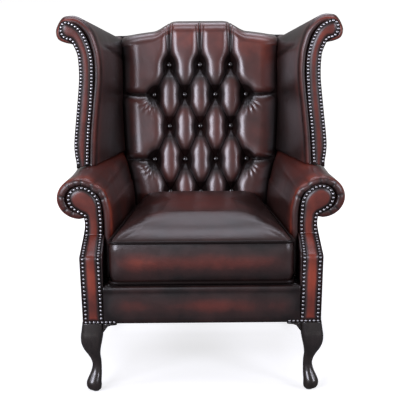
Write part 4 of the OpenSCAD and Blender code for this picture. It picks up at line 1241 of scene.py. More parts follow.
    def cheek(self, side: int, name: str) -> None:
        """Builds the leather that turns from one facing round the post towards the cushion.

        Args:
            side: 1 for the right, -1 for the left.
            name: The side's name.
        """
        rows = []
        for z in (0.2153, 0.24, 0.28, 0.32, 0.3335, 0.336, 0.36, 0.39, 0.4075, 0.412, 0.425, 0.44,
                  0.450, 0.4565):
            front = float(LINES.face(z)) + 0.0054
            puff = 0.0012 if z > 0.334 else 0.0
            rear = max(0.0955, front + 0.002)
            line = [(0.2940, front - 0.0001), (0.2875, front - 0.0001), (0.28460, front - 0.0001),
                    (0.28455 - puff * 0.5, front + 0.0030), (0.28455 - puff, front + 0.014),
                    (0.28455 - puff, lerp(front, rear, 0.6)), (0.28460, rear)]
            inner = [(x + 0.0003, y + 0.0003) for x, y in reversed(line)]
            rows.append([placed(x, y, z).tolist() for x, y in line + inner])
        # Painted shade: the cheek darkens as it turns in behind the facing.
        wear_and_shade = np.array([0.12, 0.2, 0.3, 0.25, 0.12, 0.1, 0.05] + [0.05] * 7)
        dress(loft(rows, wear_and_shade).object(f"{name}_arm_cheek", side < 0), self.finishes.leather)

    def outside(self, side: int, name: str) -> None:
        """Builds one outside arm panel.

        Args:
            side: 1 for the right, -1 for the left.
            name: The side's name.
        """
        rear = LINES.cover(np.array([0.542, 0.455, 0.3])) - 0.001
        ys = np.linspace(LINES.arm_y, rear[0], 24)
        roll = LINES.roll(ys)
        gap = np.clip(np.abs(LINES.panel(ys) - roll[:, 0]) / roll[:, 2], 0, 1)
        under = np.stack([ys, roll[:, 1] - roll[:, 2] * np.sqrt(1 - gap**2) - 0.0012], 1)
        outline = np.vstack([[(0.0066, LEATHER_FOOT), (0.0066, 0.4095), (LINES.arm_y, 0.4545)],
                             under, [(rear[0], under[-1, 1]), (rear[1], 0.455),
                                     (rear[2], LEATHER_FOOT)]])
        panel = Panel(outline, 0.0085)
        y, z = panel.flat.T
        d, wave = to_path(panel.flat, closed(outline)), ripple(placed(y, 0, z), 2.2, 7 + side)
        # Painted shade: the panel darkens towards its edges; the slow wave across it is tone.
        shape = panel.plate(
            lambda h: placed(LINES.panel(y) + h, y, z),
            0.0030 * ease(0, 0.05, d) - 0.0030 + wave * 0.0005 * ease(0, 0.06, d), 0.0042,
            0.08 + 0.44 * ease(0.01, 0.11, d) + 0.08 * np.sin(y * 9 + z * 6))
        dress(shape.object(f"{name}_outside_arm_cover", side < 0), self.finishes.leather,
              f"{name}_outside_arm", fill=0.9)

    def build(self) -> None:
        """Builds both arms."""
        for side, name in SIDES:
            self.padding(side, name)
            self.facing(side, name)
            self.cheek(side, name)
            self.outside(side, name)


@dataclass
class Wings:
    """The padded wings with scrolled tops, studded facings and outside covers."""

    finishes: Finishes

    def edges(self) -> tuple[Array, Array]:
        """Draws the wing's edge from the foot over the scroll.

        Returns:
            Its line at the front and its line at the back, as widths and heights.
        """
        front = smooth([LINES.wing_point(s) for s in WING_EDGE], 12)
        share = (front[:, 1] - LINES.arm_h) / (LINES.top_z - LINES.arm_h)
        turn = int(np.argmax(share > 0.86))
        s = np.clip(share[:turn] / 0.86, -0.12, 1)
        slope = np.stack([LINES.wing_rear(s), lerp(LINES.arm_h, LINES.top_roll_z, s)], 1)
        arc = self.top_arc(np.pi * (1 - np.linspace(0, 1, len(front) - turn)))
        return front, np.vstack([slope, arc])

    def top_arc(self, a: Array) -> Array:
        """Returns the points of the top roll's end at angles from its outer side."""
        return np.stack([LINES.wing_x + LINES.top_roll_r * (1 + np.cos(a)),
                         LINES.top_roll_z + LINES.top_roll_r * np.sin(a)], 1)

    def padding(self, side: int, name: str) -> None:
        """Builds one wing's inside padding and its rolled edge.

        Args:
            side: 1 for the right, -1 for the left.
            name: The side's name.
        """
        whole, tail = self.edges()
        keep = whole[:, 1] > 0.6235
        length = spans(whole[keep])
        at = np.linspace(0, length[-1], 96)
        front, rear = pick(whole[keep], length, at), pick(tail[keep], length, at)
        inward = sideways(front)
        along = np.linspace(0, 1, 96)
        room = np.where(along > 0.80, lerp(0.030, 0.018, ease(0.80, 0.97, along)), 0.030)
        rows, wear_and_shade, hidden = [], [], []
        outer = even(smooth([LINES.wing_point(s) for s in WING_OUTER], 8), 16) - (0.0066, 0)
        outer[:, 1] = np.maximum(outer[:, 1], 0.6236)
        inner = np.stack([np.full(16, LINES.half_rear - 0.0066),
                          np.linspace(LINES.top_roll_z - 0.0008, 0.6236, 16)], 1)
        for w in np.linspace(1, 0, 15):
            y = LINES.wing_y + 0.016 * (1 - math.sqrt(max(0, 1 - (1 - min(1, w / 0.55)) ** 2)))
            y += 0.004 * ease(0.65, 0.95, w) - 0.0052 * math.sin(math.pi * min(1, w * 1.05))
            p = front + inward * (w * room)[:, None]
            gather = np.sin(along * 300) * 0.00035 * ease(0.62, 0.8, along) * math.sin(math.pi * w)
            rows.append(placed(p[:, 0], y + gather, p[:, 1]))
            hidden.append(placed(outer[:, 0], y, outer[:, 1]))
            # Painted shade: the rolled edge darkens as it turns in, with a red band rubbed along
            # the edge; the colour is redder towards the scroll at the top and darker lower down.
            wear_and_shade.append(0.22 + 0.40 * math.exp(-(((w - 0.34) / 0.16) ** 2))
                       - 0.2 * ease(0.6, 0.95, w) + 0.22 * ease(0.66, 0.8, along))
        for t in np.concatenate([[0.015, 0.04, 0.08], np.linspace(0.13, 1, 20)]):
            p = lerp(front, rear, t)
            puff = (0.006 * np.sin(np.pi * t) * ease(0.05, 0.3, along)
                    * (1 - ease(0.55, 0.68, along)))
            crease = np.exp(-(((along - (0.60 - 0.05 * t)) / 0.012) ** 2)) * ease(0.03, 0.3, t)
            q = p - inward * (puff - 0.0028 * crease)[:, None]
            rows.append(placed(q[:, 0], self.depth(p[:, 1], t),
                               q[:, 1] + np.where(along < 0.03, 0.0016, 0)))
            h = lerp(outer, inner, t)
            hidden.append(placed(h[:, 0], self.depth(h[:, 1], t), h[:, 1]))
            # Painted shade: the inside wing darkens towards the back and along its crease, with the
            # colour redder just behind the front edge and towards the scroll at the top.
            wear_and_shade.append(0.20 - 0.12 * ease(0.1, 0.6, t) + 0.34 * (1 - ease(0, 0.12, t))
                       + 0.20 * ease(0.66, 0.8, along) - 0.30 * crease - 0.2 * ease(0.9, 1, t))
        rows = np.concatenate([rows, hidden], 1)
        shape = Shape()
        shape.grid(rows, np.concatenate([wear_and_shade, np.full((len(wear_and_shade), 16), 0.1)], 1), around=True)
        for end in (0, len(rows) - 1):
            self.cap(shape, rows[end], end * 112)
        arc = self.top_arc(np.radians(np.linspace(0, 180, 25)))
        x, z = arc.T
        tube = [placed(x, lerp(LINES.back(z) + LINES.pad_t - 0.001, LINES.cover(z) - 0.0002, t), z)
                for t in np.linspace(0, 1, 9)]
        shape.grid(np.array(tube), 0.45, around=True, caps=True)
        dress(shape.object(f"{name}_wing_padding", side < 0), self.finishes.leather,
              f"{name}_inside_wing", fill=0.85)

    def depth(self, z: Array, t: float) -> Array:
        """Returns the depths of a line of the padding at heights, t of the way to the back."""
        return lerp(LINES.wing_y + 0.016, LINES.back(z) + LINES.pad_t - 0.0006, t)

    def cap(self, shape: Shape, ring: Array, start: int) -> None:
        """Closes an end of the padding with strips from its seen line to its hidden one.

        Args:
            shape: The padding, which gets the faces.
            ring: The end's points, 96 seen and 16 hidden.
            start: The number of the ring's first point in the shape.
        """
        z, rim = ring[:96, 2], ring[96, 2] - 0.008
        meets = np.round(np.interp(z, (0.6236, rim), (15, 0))).astype(int)
        if (z > rim).any():
            meets[int(np.argmax(z > rim)):] = 0
        for j in range(95):
            corners = (j, j + 1, 96 + meets[j + 1], 96 + meets[j])
            face = tuple(start + int(c) for c in dict.fromkeys(corners))
            if len(face) > 2:
                shape.faces.append(face)

    def facing(self, side: int, name: str) -> None:
        """Builds one wing's studded facing.

        Args:
            side: 1 for the right, -1 for the left.
            name: The side's name.
        """
        row = wing_row()
        edge = beside(row, HEM)
        cx, cz, r = LINES.roll(WING_FACE)
        feet = np.linspace(edge[-1][0], edge[0][0], 9)
        over = cz + np.sqrt(np.maximum(0, r**2 - (feet - cx) ** 2))
        heel = np.vstack([[(row[0][0], 0.600)], row, [(row[-1][0], 0.600)]])
        panel = Panel(np.vstack([edge, np.column_stack([feet, over + 0.0016])]), 0.0034)
        x, z = panel.flat.T
        d, within = to_path(panel.flat, heel), inside(panel.flat, heel)
        pad = 0.0045 * (1 - np.exp(-np.maximum(0, d - 0.003) / 0.005))
        welt = 0.0016 * np.sin(np.pi * np.clip(d / HEM, 0, 1))
        # Painted shade: the facing goes dark close to its nails and on the hem outside them.
        shape = panel.plate(lambda h: placed(x, WING_FACE - h, z), np.where(within, pad, welt),
                            0.0058, np.where(within, 0.02 + 0.66 * ease(0.004, 0.014, d), 0.02))
        dress(shape.object(f"{name}_wing_front", side < 0), self.finishes.bright,
              f"{name}_wing_facing", fill=0.9)

    def outside(self, side: int, name: str) -> None:
        """Builds one wing's outside cover.

        Args:
            side: 1 for the right, -1 for the left.
            name: The side's name.
        """
        outer = even(smooth([LINES.wing_point(s) for s in WING_OUTER], 10)[::-1], 48)
        q = np.linspace(0, 1, 48)
        crest = LINES.top_roll_z - 0.0008
        rear_end = lerp(0.587, crest, q)
        run = LINES.back(rear_end) + LINES.pad_t - LINES.wing_y
        rows, wear_and_shade = [], []
        for t in np.linspace(0, 1, 34):
            y = lerp(LINES.wing_y, LINES.cover(rear_end) - 0.0005, t)
            s = np.minimum(1, (y - LINES.wing_y) / run)
            x = lerp(outer[:, 0], LINES.half_rear, s)
            z = lerp(outer[:, 1] - 0.0008, lerp(0.618, crest, q), s)
            cx, cz, r = LINES.roll(y[0])
            floor = cz + math.sqrt(max(0.0, r**2 - (x[0] - cx) ** 2)) + 0.0016
            z = lerp(floor, z[-1], (z - z[0]) / (z[-1] - z[0]))
            edge = np.minimum(np.minimum(q, 1 - q) * 0.36, min(t, 1 - t) * 0.35)
            rows.append(placed(x - 0.0022 * (1 - ease(0, 0.03, edge)), y, z))
            # Painted shade: the cover darkens towards its edges.
            wear_and_shade.append(0.08 + 0.42 * ease(0, 0.10, edge))
        front = np.array(rows)
        back = front.copy()
        back[:, :, 0] -= 0.0040
        rows = np.concatenate([front, back[:, ::-1]], 1)
        wear_and_shade = np.concatenate([np.array(wear_and_shade), np.full((34, 48), 0.1)], 1)
        shape = Shape()
        shape.grid(rows, wear_and_shade, around=True)
        for end in (0, 33 * 96):
            shape.faces += [(end + j, end + j + 1, end + 94 - j, end + 95 - j) for j in range(47)]
        dress(shape.object(f"{name}_outside_wing_cover", side < 0), self.finishes.leather,
              f"{name}_outside_wing", fill=0.9)

    def build(self) -> None:
        """Builds both wings."""
        for side, name in SIDES:
            self.padding(side, name)
            self.facing(side, name)
            self.outside(side, name)


@dataclass
class SeatCushion:
    """The loose seat cushion: crowned top, drawn-in boxing, piped seams and a rear zip."""

    finishes: Finishes
    front_y: float = -0.008
    rear_y: float = 0.517
    front_x: float = 0.268
    rear_x: float = 0.216
    corner: float = 0.026
    low: float = 0.3324
    pipe_r: float = 0.0045
    top_z: float = 0.4549
    crown: float = 0.063

    @property
    def rest(self) -> float:
        """The height that the underside rests at."""
        return self.low + 0.0002

    def ring(self, inset: float, z: float, bow: float = 0, around: int = 168) -> Array:
        """Draws the cushion's outline.

        Args:
            inset: How far it lies inside the widest line.
            z: Its height.
            bow: How far the sides are drawn in between the corners.
            around: Points in the outline.

        Returns:
            The points, measured from the front rail's face.
        """
        r = max(self.corner - inset, self.corner / 4)
        y0, y1 = self.front_y + inset, self.rear_y - inset
        wf, wr = self.front_x - inset, self.rear_x - inset
        points = []
        for cx, cy, a in ((wf - r, y0 + r, -90), (wr - r, y1 - r, 0), (r - wr, y1 - r, 90),
                          (r - wf, y0 + r, 180)):
            points += [(cx + r * math.cos(math.radians(a + k * 11.25)),
                        cy + r * math.sin(math.radians(a + k * 11.25))) for k in range(9)]
        loop = even(np.array([*points, points[0]]), around + 1)[:-1]
        if bow:
            x, y = loop[:, 0], loop[:, 1]
            side = np.sin(np.pi * np.clip((y - y0) / (y1 - y0), 0, 1))
            face = np.sin(np.pi * np.clip((x + wf) / (2 * wf), 0, 1))
            near_side = np.abs(x) > lerp(wf, wr, (y - y0) / (y1 - y0)) - 0.004
            loop[:, 0] -= np.where(near_side, np.sign(x) * bow * side, 0)
            loop[:, 1] += np.where(np.abs(y - y0) < 0.002, bow * face * 0.6, 0)
        return np.column_stack([loop, np.full(around, z)])

    def rings(self) -> list[Array]:
        """Draws the cushion from the underside over the boxing to the crown.

        Returns:
            The outlines, from the lowest to the highest.
        """
        low_z, gap = self.low + self.pipe_r, self.pipe_r + 0.0006
        seam = 2 * self.pipe_r + 0.0006
        middle = np.array([0, (self.front_y + self.rear_y) / 2, 0])
        out = self.ring(seam, 0) - middle
        made = [middle + out * s + (0, 0, self.rest) for s in (0.04, 0.3, 0.6, 0.85, 0.97)]
        made += [self.ring(seam, low_z - gap * 0.6), self.ring(seam, low_z + gap * 0.6)]
        for t in np.arange(1, 14) / 14:
            swell = math.sin(math.pi * t)
            made.append(self.ring(0.0022 + 0.006 * (1 - swell) ** 3,
                                  lerp(low_z + gap * 0.7, self.top_z - gap * 0.7, t),
                                  0.004 * swell))
        made += [self.ring(seam, self.top_z - gap * 0.6), self.ring(seam, self.top_z + gap * 0.3)]
        fall = 3.9 + 6.0 * ease(0.35, 0.95, out[:, 1] / out[:, 1].max())
        for s in (0.985, 0.965, 0.94, 0.90, 0.85, 0.79, 0.72, 0.64, 0.55, 0.45, 0.35, 0.25, 0.15,
                  0.05):
            ring = middle + out * s
            depth, wide = ring[:, 1] - self.front_y, ring[:, 0] / self.front_x
            trough = 0.0058 * np.exp(-(((depth - 0.080) / 0.026) ** 2)) * np.clip(1 - wide**4, 0, 1)
            ring[:, 2] = self.top_z + (self.crown - 0.002) * (1 - s**fall) ** 0.8 - trough
            made.append(ring)
        return made

    def inflate(self, piece: bpy.types.Object) -> None:
        """Fills the cushion by a cloth simulation and applies its result to the mesh.

        Args:
            piece: The cushion, at its slack size, in place.
        """
        before = piece.data
        body = put("filling", before.copy())
        remesh = body.modifiers.new("voxels", "REMESH")
        remesh.mode, remesh.voxel_size = "VOXEL", 0.0055
        solid = bpy.data.meshes.new_from_object(body.evaluated_get(
            bpy.context.evaluated_depsgraph_get()))
        body.modifiers.clear()
        body.data = solid
        start = coordinates(solid)
        under = start[:, 2] < self.low + 0.013
        seam = (np.abs(start[:, 2] - self.top_z) < 0.009) & (self.to_rim(start) < 0.016)
        pins = body.vertex_groups.new(name="seams")
        pins.add([int(i) for i in np.nonzero(under | seam)[0]], 1.0, "REPLACE")
        cloth = body.modifiers.new("cloth", "CLOTH")
        for key, value in {"quality": 5, "mass": 0.4, "tension_stiffness": 22,
                           "compression_stiffness": 22, "bending_stiffness": 0.8,
                           "use_pressure": True, "uniform_pressure_force": 4.0,
                           "vertex_group_mass": "seams"}.items():
            setattr(cloth.settings, key, value)
        cloth.settings.effector_weights.gravity = 0
        cloth.collision_settings.use_collision = False
        cloth.point_cache.frame_start, cloth.point_cache.frame_end = 1, 20
        scene = bpy.context.scene
        for frame in range(1, 21):
            scene.frame_set(frame)
        moved = coordinates(body.evaluated_get(
            bpy.context.evaluated_depsgraph_get()).to_mesh()) - start
        body.modifiers.clear()
        scene.frame_set(1)
        size = np.linalg.norm(moved, axis=1, keepdims=True)
        final = start + moved * np.minimum(1, 0.0075 / np.maximum(size, 1e-9))
        final[:, 2] = np.clip(final[:, 2], self.rest, self.top_z + self.crown)
        solid.vertices.foreach_set("co", final.ravel())
        solid.update()
        piece.data = solid
        bpy.data.objects.remove(body)
        log.info("cushion filled, largest move %.1f mm", float(size.max()) * 1000)
        bpy.data.meshes.remove(before)

    def to_side(self, p: Array) -> Array:
        """Returns how far points lie inside the nearer side."""
        share = (p[:, 1] - RAIL_Y - self.front_y) / (self.rear_y - self.front_y)
        return lerp(self.front_x, self.rear_x, share) - np.abs(p[:, 0])

    def to_rim(self, p: Array) -> Array:
        """Returns how far points lie inside the nearest side, the front or the rear."""
        y = p[:, 1] - RAIL_Y
        return np.minimum.reduce([self.to_side(p), y - self.front_y, self.rear_y - y])

    def tint(self, piece: bpy.types.Object) -> None:
        """Rubs the cushion red along the boxing's middle and the crown, with painted shade towards
        the pipings, along the sides and at the rim.

        Args:
            piece: The cushion, in place.
        """
        mesh = piece.data
        p = coordinates(mesh)
        t = (p[:, 2] - self.low) / (self.top_z - self.low)
        # Painted shade: the boxing darkens towards the pipings and along the sides by the arms, and
        # the top towards its rim; the ripples are tone.
        ends = ease(0.0, 0.09, self.to_side(p))
        box = 0.10 + 0.58 * np.exp(-(((t - 0.54) / 0.26) ** 2)) * (0.25 + 0.75 * ends)
        box += 0.10 * ripple(p, 3.0, 5)
        top = 0.22 + 0.34 * ease(0.06, 0.20, self.to_rim(p)) + 0.07 * ripple(p, 2.4, 8)
        wear_and_shade = np.where(p[:, 2] > self.top_z, top, box)
        if "wear_and_shade" in mesh.attributes:
            mesh.attributes.remove(mesh.attributes["wear_and_shade"])
        mesh.attributes.new("wear_and_shade", "FLOAT", "POINT").data.foreach_set(
            "value", np.clip(wear_and_shade, 0, 1).astype(np.float32))
        for face in mesh.polygons:
            face.use_smooth = True

    def build(self) -> None:
        """Builds the cushion, its pipings and its zip."""
        rings = [placed(*r.T) for r in self.rings()]
        piece = loft(rings, 0.4).object("seat_cushion_cover")
        self.inflate(piece)
        self.tint(piece)
        dress(piece, self.finishes.leather, "seat_cushion", body=Body.CUSHION, levels=1, fill=0.9)
        for z, where in ((self.top_z, "top"), (self.low + self.pipe_r, "bottom")):
            welt = PathTube(f"cushion_{where}_welt",
                            placed(*self.ring(self.pipe_r, z, around=420).T),
                            self.pipe_r - 0.0001).grow(self.finishes.dull)
            dress(welt, self.finishes.dull, f"cushion_{where}_piping", body=Body.CUSHION)
        self.zip()

    def zip(self) -> None:
        """Builds the zip's tape, its teeth and the slider with its pull."""
        z, y = 0.3959, self.rear_y - 0.003
        tape = Shape()
        x = np.linspace(-0.19, 0.19, 120)
        rows = [placed(x, y + d, z + h) for h, d in (
            (-0.012, 0.0), (-0.0119, 0.0008), (-0.003, 0.0010), (0.003, 0.0010),
            (0.0119, 0.0008), (0.012, 0.0), (0, -0.0001))]
        tape.grid(np.array(rows).transpose(1, 0, 2), 0.2, around=True, caps=True)
        dress(tape.object("zip_tape"), self.finishes.tape, "cushion_zip", body=Body.CUSHION)
        teeth = StudRow("zip_teeth", placed(np.linspace(0.186, -0.170, 2), y + 0.0010, z), 0.0021,
                        (0, 1, 0), 0.0011, 0.0004, 6).grow(self.finishes.steel)
        dress(teeth, self.finishes.steel, body=Body.CUSHION)
        pull, base, cx = Shape(), y + 0.0015, -0.1765
        a = np.linspace(0, 2 * math.pi, 33)[:-1]
        sx = np.sign(np.cos(a)) * np.abs(np.cos(a)) ** 0.45
        sz = np.sign(np.sin(a)) * np.abs(np.sin(a)) ** 0.45
        for half, y0, y1, low, high in ((0.0044, 0, 0.0024, -0.0055, 0.0055),
                                        (0.0016, 0.0020, 0.0043, -0.0040, 0.0050),
                                        (0.0028, 0.0030, 0.0044, -0.0079, -0.0005)):
            pull.grid(np.array([
                placed(cx + sx * half * k, base + lerp(y0, y1, t),
                       z + (low + high) / 2 + sz * (high - low) / 2 * k)
                for k, t in ((0.82, 0), (1, 0.25), (1, 0.75), (0.82, 1))]), 0.5,
                around=True, caps=True)
        dress(pull.object("zip_pull"), self.finishes.steel, "zip_slider", body=Body.SLIDER)


@dataclass
class Seat:
    """The front border with its rolled top and the deck under the cushion."""

    finishes: Finishes
    half: float = 0.2841

    def border(self) -> None:
        """Builds the front border."""
        x = np.linspace(-self.half, self.half, 150)
        section = [(0.0058, 0.2151), (0.0010, 0.2153), (-0.0002, 0.2180), (0.0000, 0.228)]
        section += [(0.0, z) for z in np.linspace(0.235, 0.304, 14)]
        section += [(-0.0004, 0.308), (-0.0012, 0.312), (-0.0013, 0.317), (-0.0001, 0.3215),
                    (0.0030, 0.3245), (0.0070, 0.3248), (0.0105, 0.3225), (0.0122, 0.3180),
                    (0.0112, 0.3140), (0.0062, 0.3118), (0.0059, 0.26)]
        rows, wear_and_shade = [], []
        for y, z in section:
            full = np.clip((z - 0.2151) / 0.09, 0, 1)
            puff = 0.0022 * math.sin(math.pi * full) if y < 0.003 and z < 0.306 else 0.0
            end = 1 - np.abs(x / self.half) ** 14
            wave = 0.0006 * np.sin(x * 37 + z * 20) * np.sin(math.pi * full)
            rows.append(placed(x, y - puff * end - wave * (1 if y < 0.003 else 0), z))
            # Painted shade: the border is redder across its middle and on its rolled top, darker
            # near its foot and below the roll, and dark at both ends by the arm facings; the sine
            # across it is tone.
            warm = math.exp(-(((z - 0.268) / 0.026) ** 2)) + (0.25 if z > 0.31 else 0)
            wear_and_shade.append(0.06 + warm * (0.44 + 0.14 * np.sin(x * 21 + 1.0)) * ease(
                0.0, 0.07, self.half - np.abs(x)))
        dress(loft(np.array(rows).transpose(1, 0, 2), np.array(wear_and_shade).T).object("border_panel"),
              self.finishes.leather, "front_border")

    def deck(self) -> None:
        """Builds the padded platform under the cushion."""
        right = [(self.half, 0.0070), (self.half, 0.0958), (0.2596, 0.0958), (0.2180, 0.5296)]
        panel = Panel(np.array(right + [(-x, y) for x, y in reversed(right)]), 0.011)
        d = to_path(panel.flat, closed(panel.outline))
        # Painted shade: the deck darkens towards its edges.
        shape = panel.plate(lambda h: placed(*panel.flat.T, 0.332 + h),
                            -0.0062 * (1 - ease(0, 0.02, d)) - 0.0002, 0.0295,
                            0.16 + 0.10 * ease(0.0, 0.1, d))
        dress(shape.object("deck_platform"), self.finishes.dull, "deck_cover", "deck_pad", fill=0.8)

    def build(self) -> None:
        """Builds the seat's fixed parts."""
        self.border()
        self.deck()


@dataclass
class OutsideBack:
    """The outside back, a taut panel with a row of nails down each side."""

    finishes: Finishes

    def build(self) -> None:
        """Builds the panel."""
        hump = TuftedBack(self.finishes).hump
        half, r, roll_z = LINES.half_rear, LINES.top_roll_r, LINES.top_roll_z
        right = [(half, LEATHER_FOOT), (half, roll_z)]
        right += [(half - r + r * math.cos(a), roll_z + r * math.sin(a))
                  for a in np.radians(np.linspace(0, 90, 12))[1:]]
        right += [(v, float(hump(np.array(min(v, 0.25))))) for v in np.linspace(0.2820, 0, 60)[1:]]
        panel = Panel(np.array(right + [(-v, z) for v, z in reversed(right[:-1])]), 0.010)
        x, z = panel.flat.T
        d = to_path(panel.flat, closed(panel.outline))
        wave = 0.0006 * ripple(placed(x, 0, z), 2.0, 3) * ease(0, 0.08, d)
        # Painted shade: the panel darkens towards its edges; the slow wave across it is tone.
        shape = panel.plate(lambda h: placed(x, LINES.cover(z) + LINES.cover_t + h, z),
                            0.0002 - 0.0012 * np.exp(-((d / 0.004) ** 2)) + wave, 0.0042,
                            0.10 + 0.38 * ease(0.01, 0.13, d)
                            + 0.08 * np.sin(x * 9) * np.cos(z * 7))
        dress(shape.object("outside_back_cover"), self.finishes.leather, "outside_back", fill=0.9)


class Tree(Wiring):
    """A Geometry Nodes tree with named inputs."""

    def __init__(self, name: str, finish: Finish) -> None:
        """Starts a tree.

        Args:
            name: The tree's name.
            finish: The finish that the result takes.
        """
        super().__init__(bpy.data.node_groups.new(name, "GeometryNodeTree"))
        for way in ("INPUT", "OUTPUT"):
            self.tree.interface.new_socket("Geometry", in_out=way,
                                           socket_type="NodeSocketGeometry")
        self.finish = finish
        self.values: dict[str, float] = {}

    def size(self, name: str, value: float, kind: str = "NodeSocketFloat") -> None:
        """Adds a named input.

        Args:
            name: The input's name.
            value: Its value.
            kind: Its socket type.
        """
        self.tree.interface.new_socket(name, in_out="INPUT", socket_type=kind)
        self.values[name] = value

    def end(self, geometry: bpy.types.NodeSocket) -> None:
        """Ends the tree in Realize Instances and Set Material.

        Args:
            geometry: What the tree has built.
        """
        real = self.add("GeometryNodeRealizeInstances", Geometry=geometry).outputs[0]
        done = self.add("GeometryNodeSetMaterial", Geometry=real, Material=self.finish.material)
        self.feed(self.add("NodeGroupOutput").inputs[0], done.outputs[0])

    def run(self, name: str, seed: bpy.types.Mesh) -> bpy.types.Object:
        """Grows the tree on a seed mesh and keeps the result as a plain mesh.

        Args:
            name: The piece's name.
            seed: The mesh that the tree starts from.

        Returns:
            The finished piece, with no modifier.
        """
        holder = put(f"{name}_seed", seed)
        grown = holder.modifiers.new("grown", "NODES")
        grown.node_group = self.tree
        for item in self.tree.interface.items_tree:
            if item.in_out == "INPUT" and item.name in self.values:
                grown[item.identifier] = self.values[item.name]
        graph = bpy.context.evaluated_depsgraph_get()
        mesh = bpy.data.meshes.new_from_object(holder.evaluated_get(graph))
        holder.modifiers.clear()
        bpy.data.objects.remove(holder)
        close_up(mesh)
        mesh.name = name
        return put(name, mesh)


def line_mesh(name: str, points: Array, loop: bool = False) -> bpy.types.Mesh:
    """Makes a mesh of one line of edges.

    Args:
        name: The mesh's name.
        points: The line's points.
        loop: Whether the last point joins the first.

    Returns:
        The mesh.
    """
    mesh, n = bpy.data.meshes.new(name), len(points)
    mesh.from_pydata([tuple(map(float, p)) for p in points],
                     [(i, (i + 1) % n) for i in range(n if loop else n - 1)], [])
    return mesh


@dataclass
class PathTube:
    """A round welt that follows a closed line."""

    name: str
    points: Array
    radius: float

    def grow(self, finish: Finish) -> bpy.types.Object:
        """Grows the tube along the line.

        Args:
            finish: Its finish.

        Returns:
            The tube, as a plain mesh.
        """
        tree = Tree(f"{self.name}_tree", finish)
        tree.size("Radius", self.radius)
        tree.size("Sides", 14, "NodeSocketInt")
        sizes = tree.add("NodeGroupInput").outputs
        curve = tree.add("GeometryNodeMeshToCurve", Mesh=sizes["Geometry"])
        ring = tree.add("GeometryNodeCurvePrimitiveCircle", Radius=sizes["Radius"],
                        Resolution=sizes["Sides"])
        tube = tree.add("GeometryNodeCurveToMesh", Curve=curve.outputs[0],
                        Profile_Curve=ring.outputs[0], Fill_Caps=True)
        tree.end(tube.outputs[0])
        return tree.run(self.name, line_mesh(self.name, self.points, True))


@dataclass
class StudRow:
    """A row of domed studs, evenly spaced along a line and turned to face one way."""

    name: str
    points: Array
    pitch: float
    facing: tuple
    radius: float = 0.00475
    height: float = 0.0028
    sides: int = 12

    def grow(self, finish: Finish) -> bpy.types.Object:
        """Grows the studs along the line.

        Args:
            finish: Their finish.

        Returns:
            The studs, as one plain mesh.
        """
        tree = Tree(f"{self.name}_tree", finish)
        tree.size("Count", int(spans(self.points)[-1] / self.pitch + 1e-6) + 1, "NodeSocketInt")
        tree.size("Head radius", self.radius)
        tree.size("Head height", self.height)
        tree.size("Head sides", self.sides, "NodeSocketInt")
        sizes = tree.add("NodeGroupInput").outputs
        curve = tree.add("GeometryNodeMeshToCurve", Mesh=sizes["Geometry"])
        spread = tree.add("GeometryNodeResampleCurve", Curve=curve.outputs[0],
                          Count=sizes["Count"])
        ball = tree.add("GeometryNodeMeshUVSphere", Segments=sizes["Head sides"], Rings=6,
                        Radius=1.0)
        where = tree.add("GeometryNodeInputPosition").outputs[0]
        # The dome's height is kept as crown, which the nickel turns into a painted highlight on top
        # and painted shade down the sides.
        store = tree.add("GeometryNodeStoreNamedAttribute", Geometry=ball.outputs[0], Name="crown")
        store.data_type, store.domain = "FLOAT", "POINT"
        tree.feed(next(s for s in store.inputs if s.name == "Value"),
                  tree.add("ShaderNodeSeparateXYZ", Vector=where).outputs["Z"])
        size = tree.add("ShaderNodeCombineXYZ", X=sizes["Head radius"], Y=sizes["Head radius"],
                        Z=sizes["Head height"])
        head = tree.add("GeometryNodeTransform", Geometry=store.outputs[0], Scale=size.outputs[0])
        turn = tree.add("FunctionNodeAlignRotationToVector", Vector=self.facing)
        turn.axis = "Z"
        studs = tree.add("GeometryNodeInstanceOnPoints", Points=spread.outputs[0],
                         Instance=head.outputs[0], Rotation=turn.outputs[0])
        tree.end(studs.outputs[0])
        return tree.run(self.name, line_mesh(self.name, self.points))


def joined(name: str, pieces: list[bpy.types.Object]) -> bpy.types.Object:
    """Joins several meshes into one new object.

    Args:
        name: The new piece's name.
        pieces: The objects, which are removed.

    Returns:
        The joined piece.
    """
    work = bmesh.new()
    for piece in pieces:
        work.from_mesh(piece.data)
    mesh = bpy.data.meshes.new(name)
    work.to_mesh(mesh)
    work.free()
    for piece in pieces:
        bpy.data.objects.remove(piece)
    for face in mesh.polygons:
        face.use_smooth = True
    return put(name, mesh)


FORWARD = (0, -1, 0)
ARM_PITCH = 0.0117


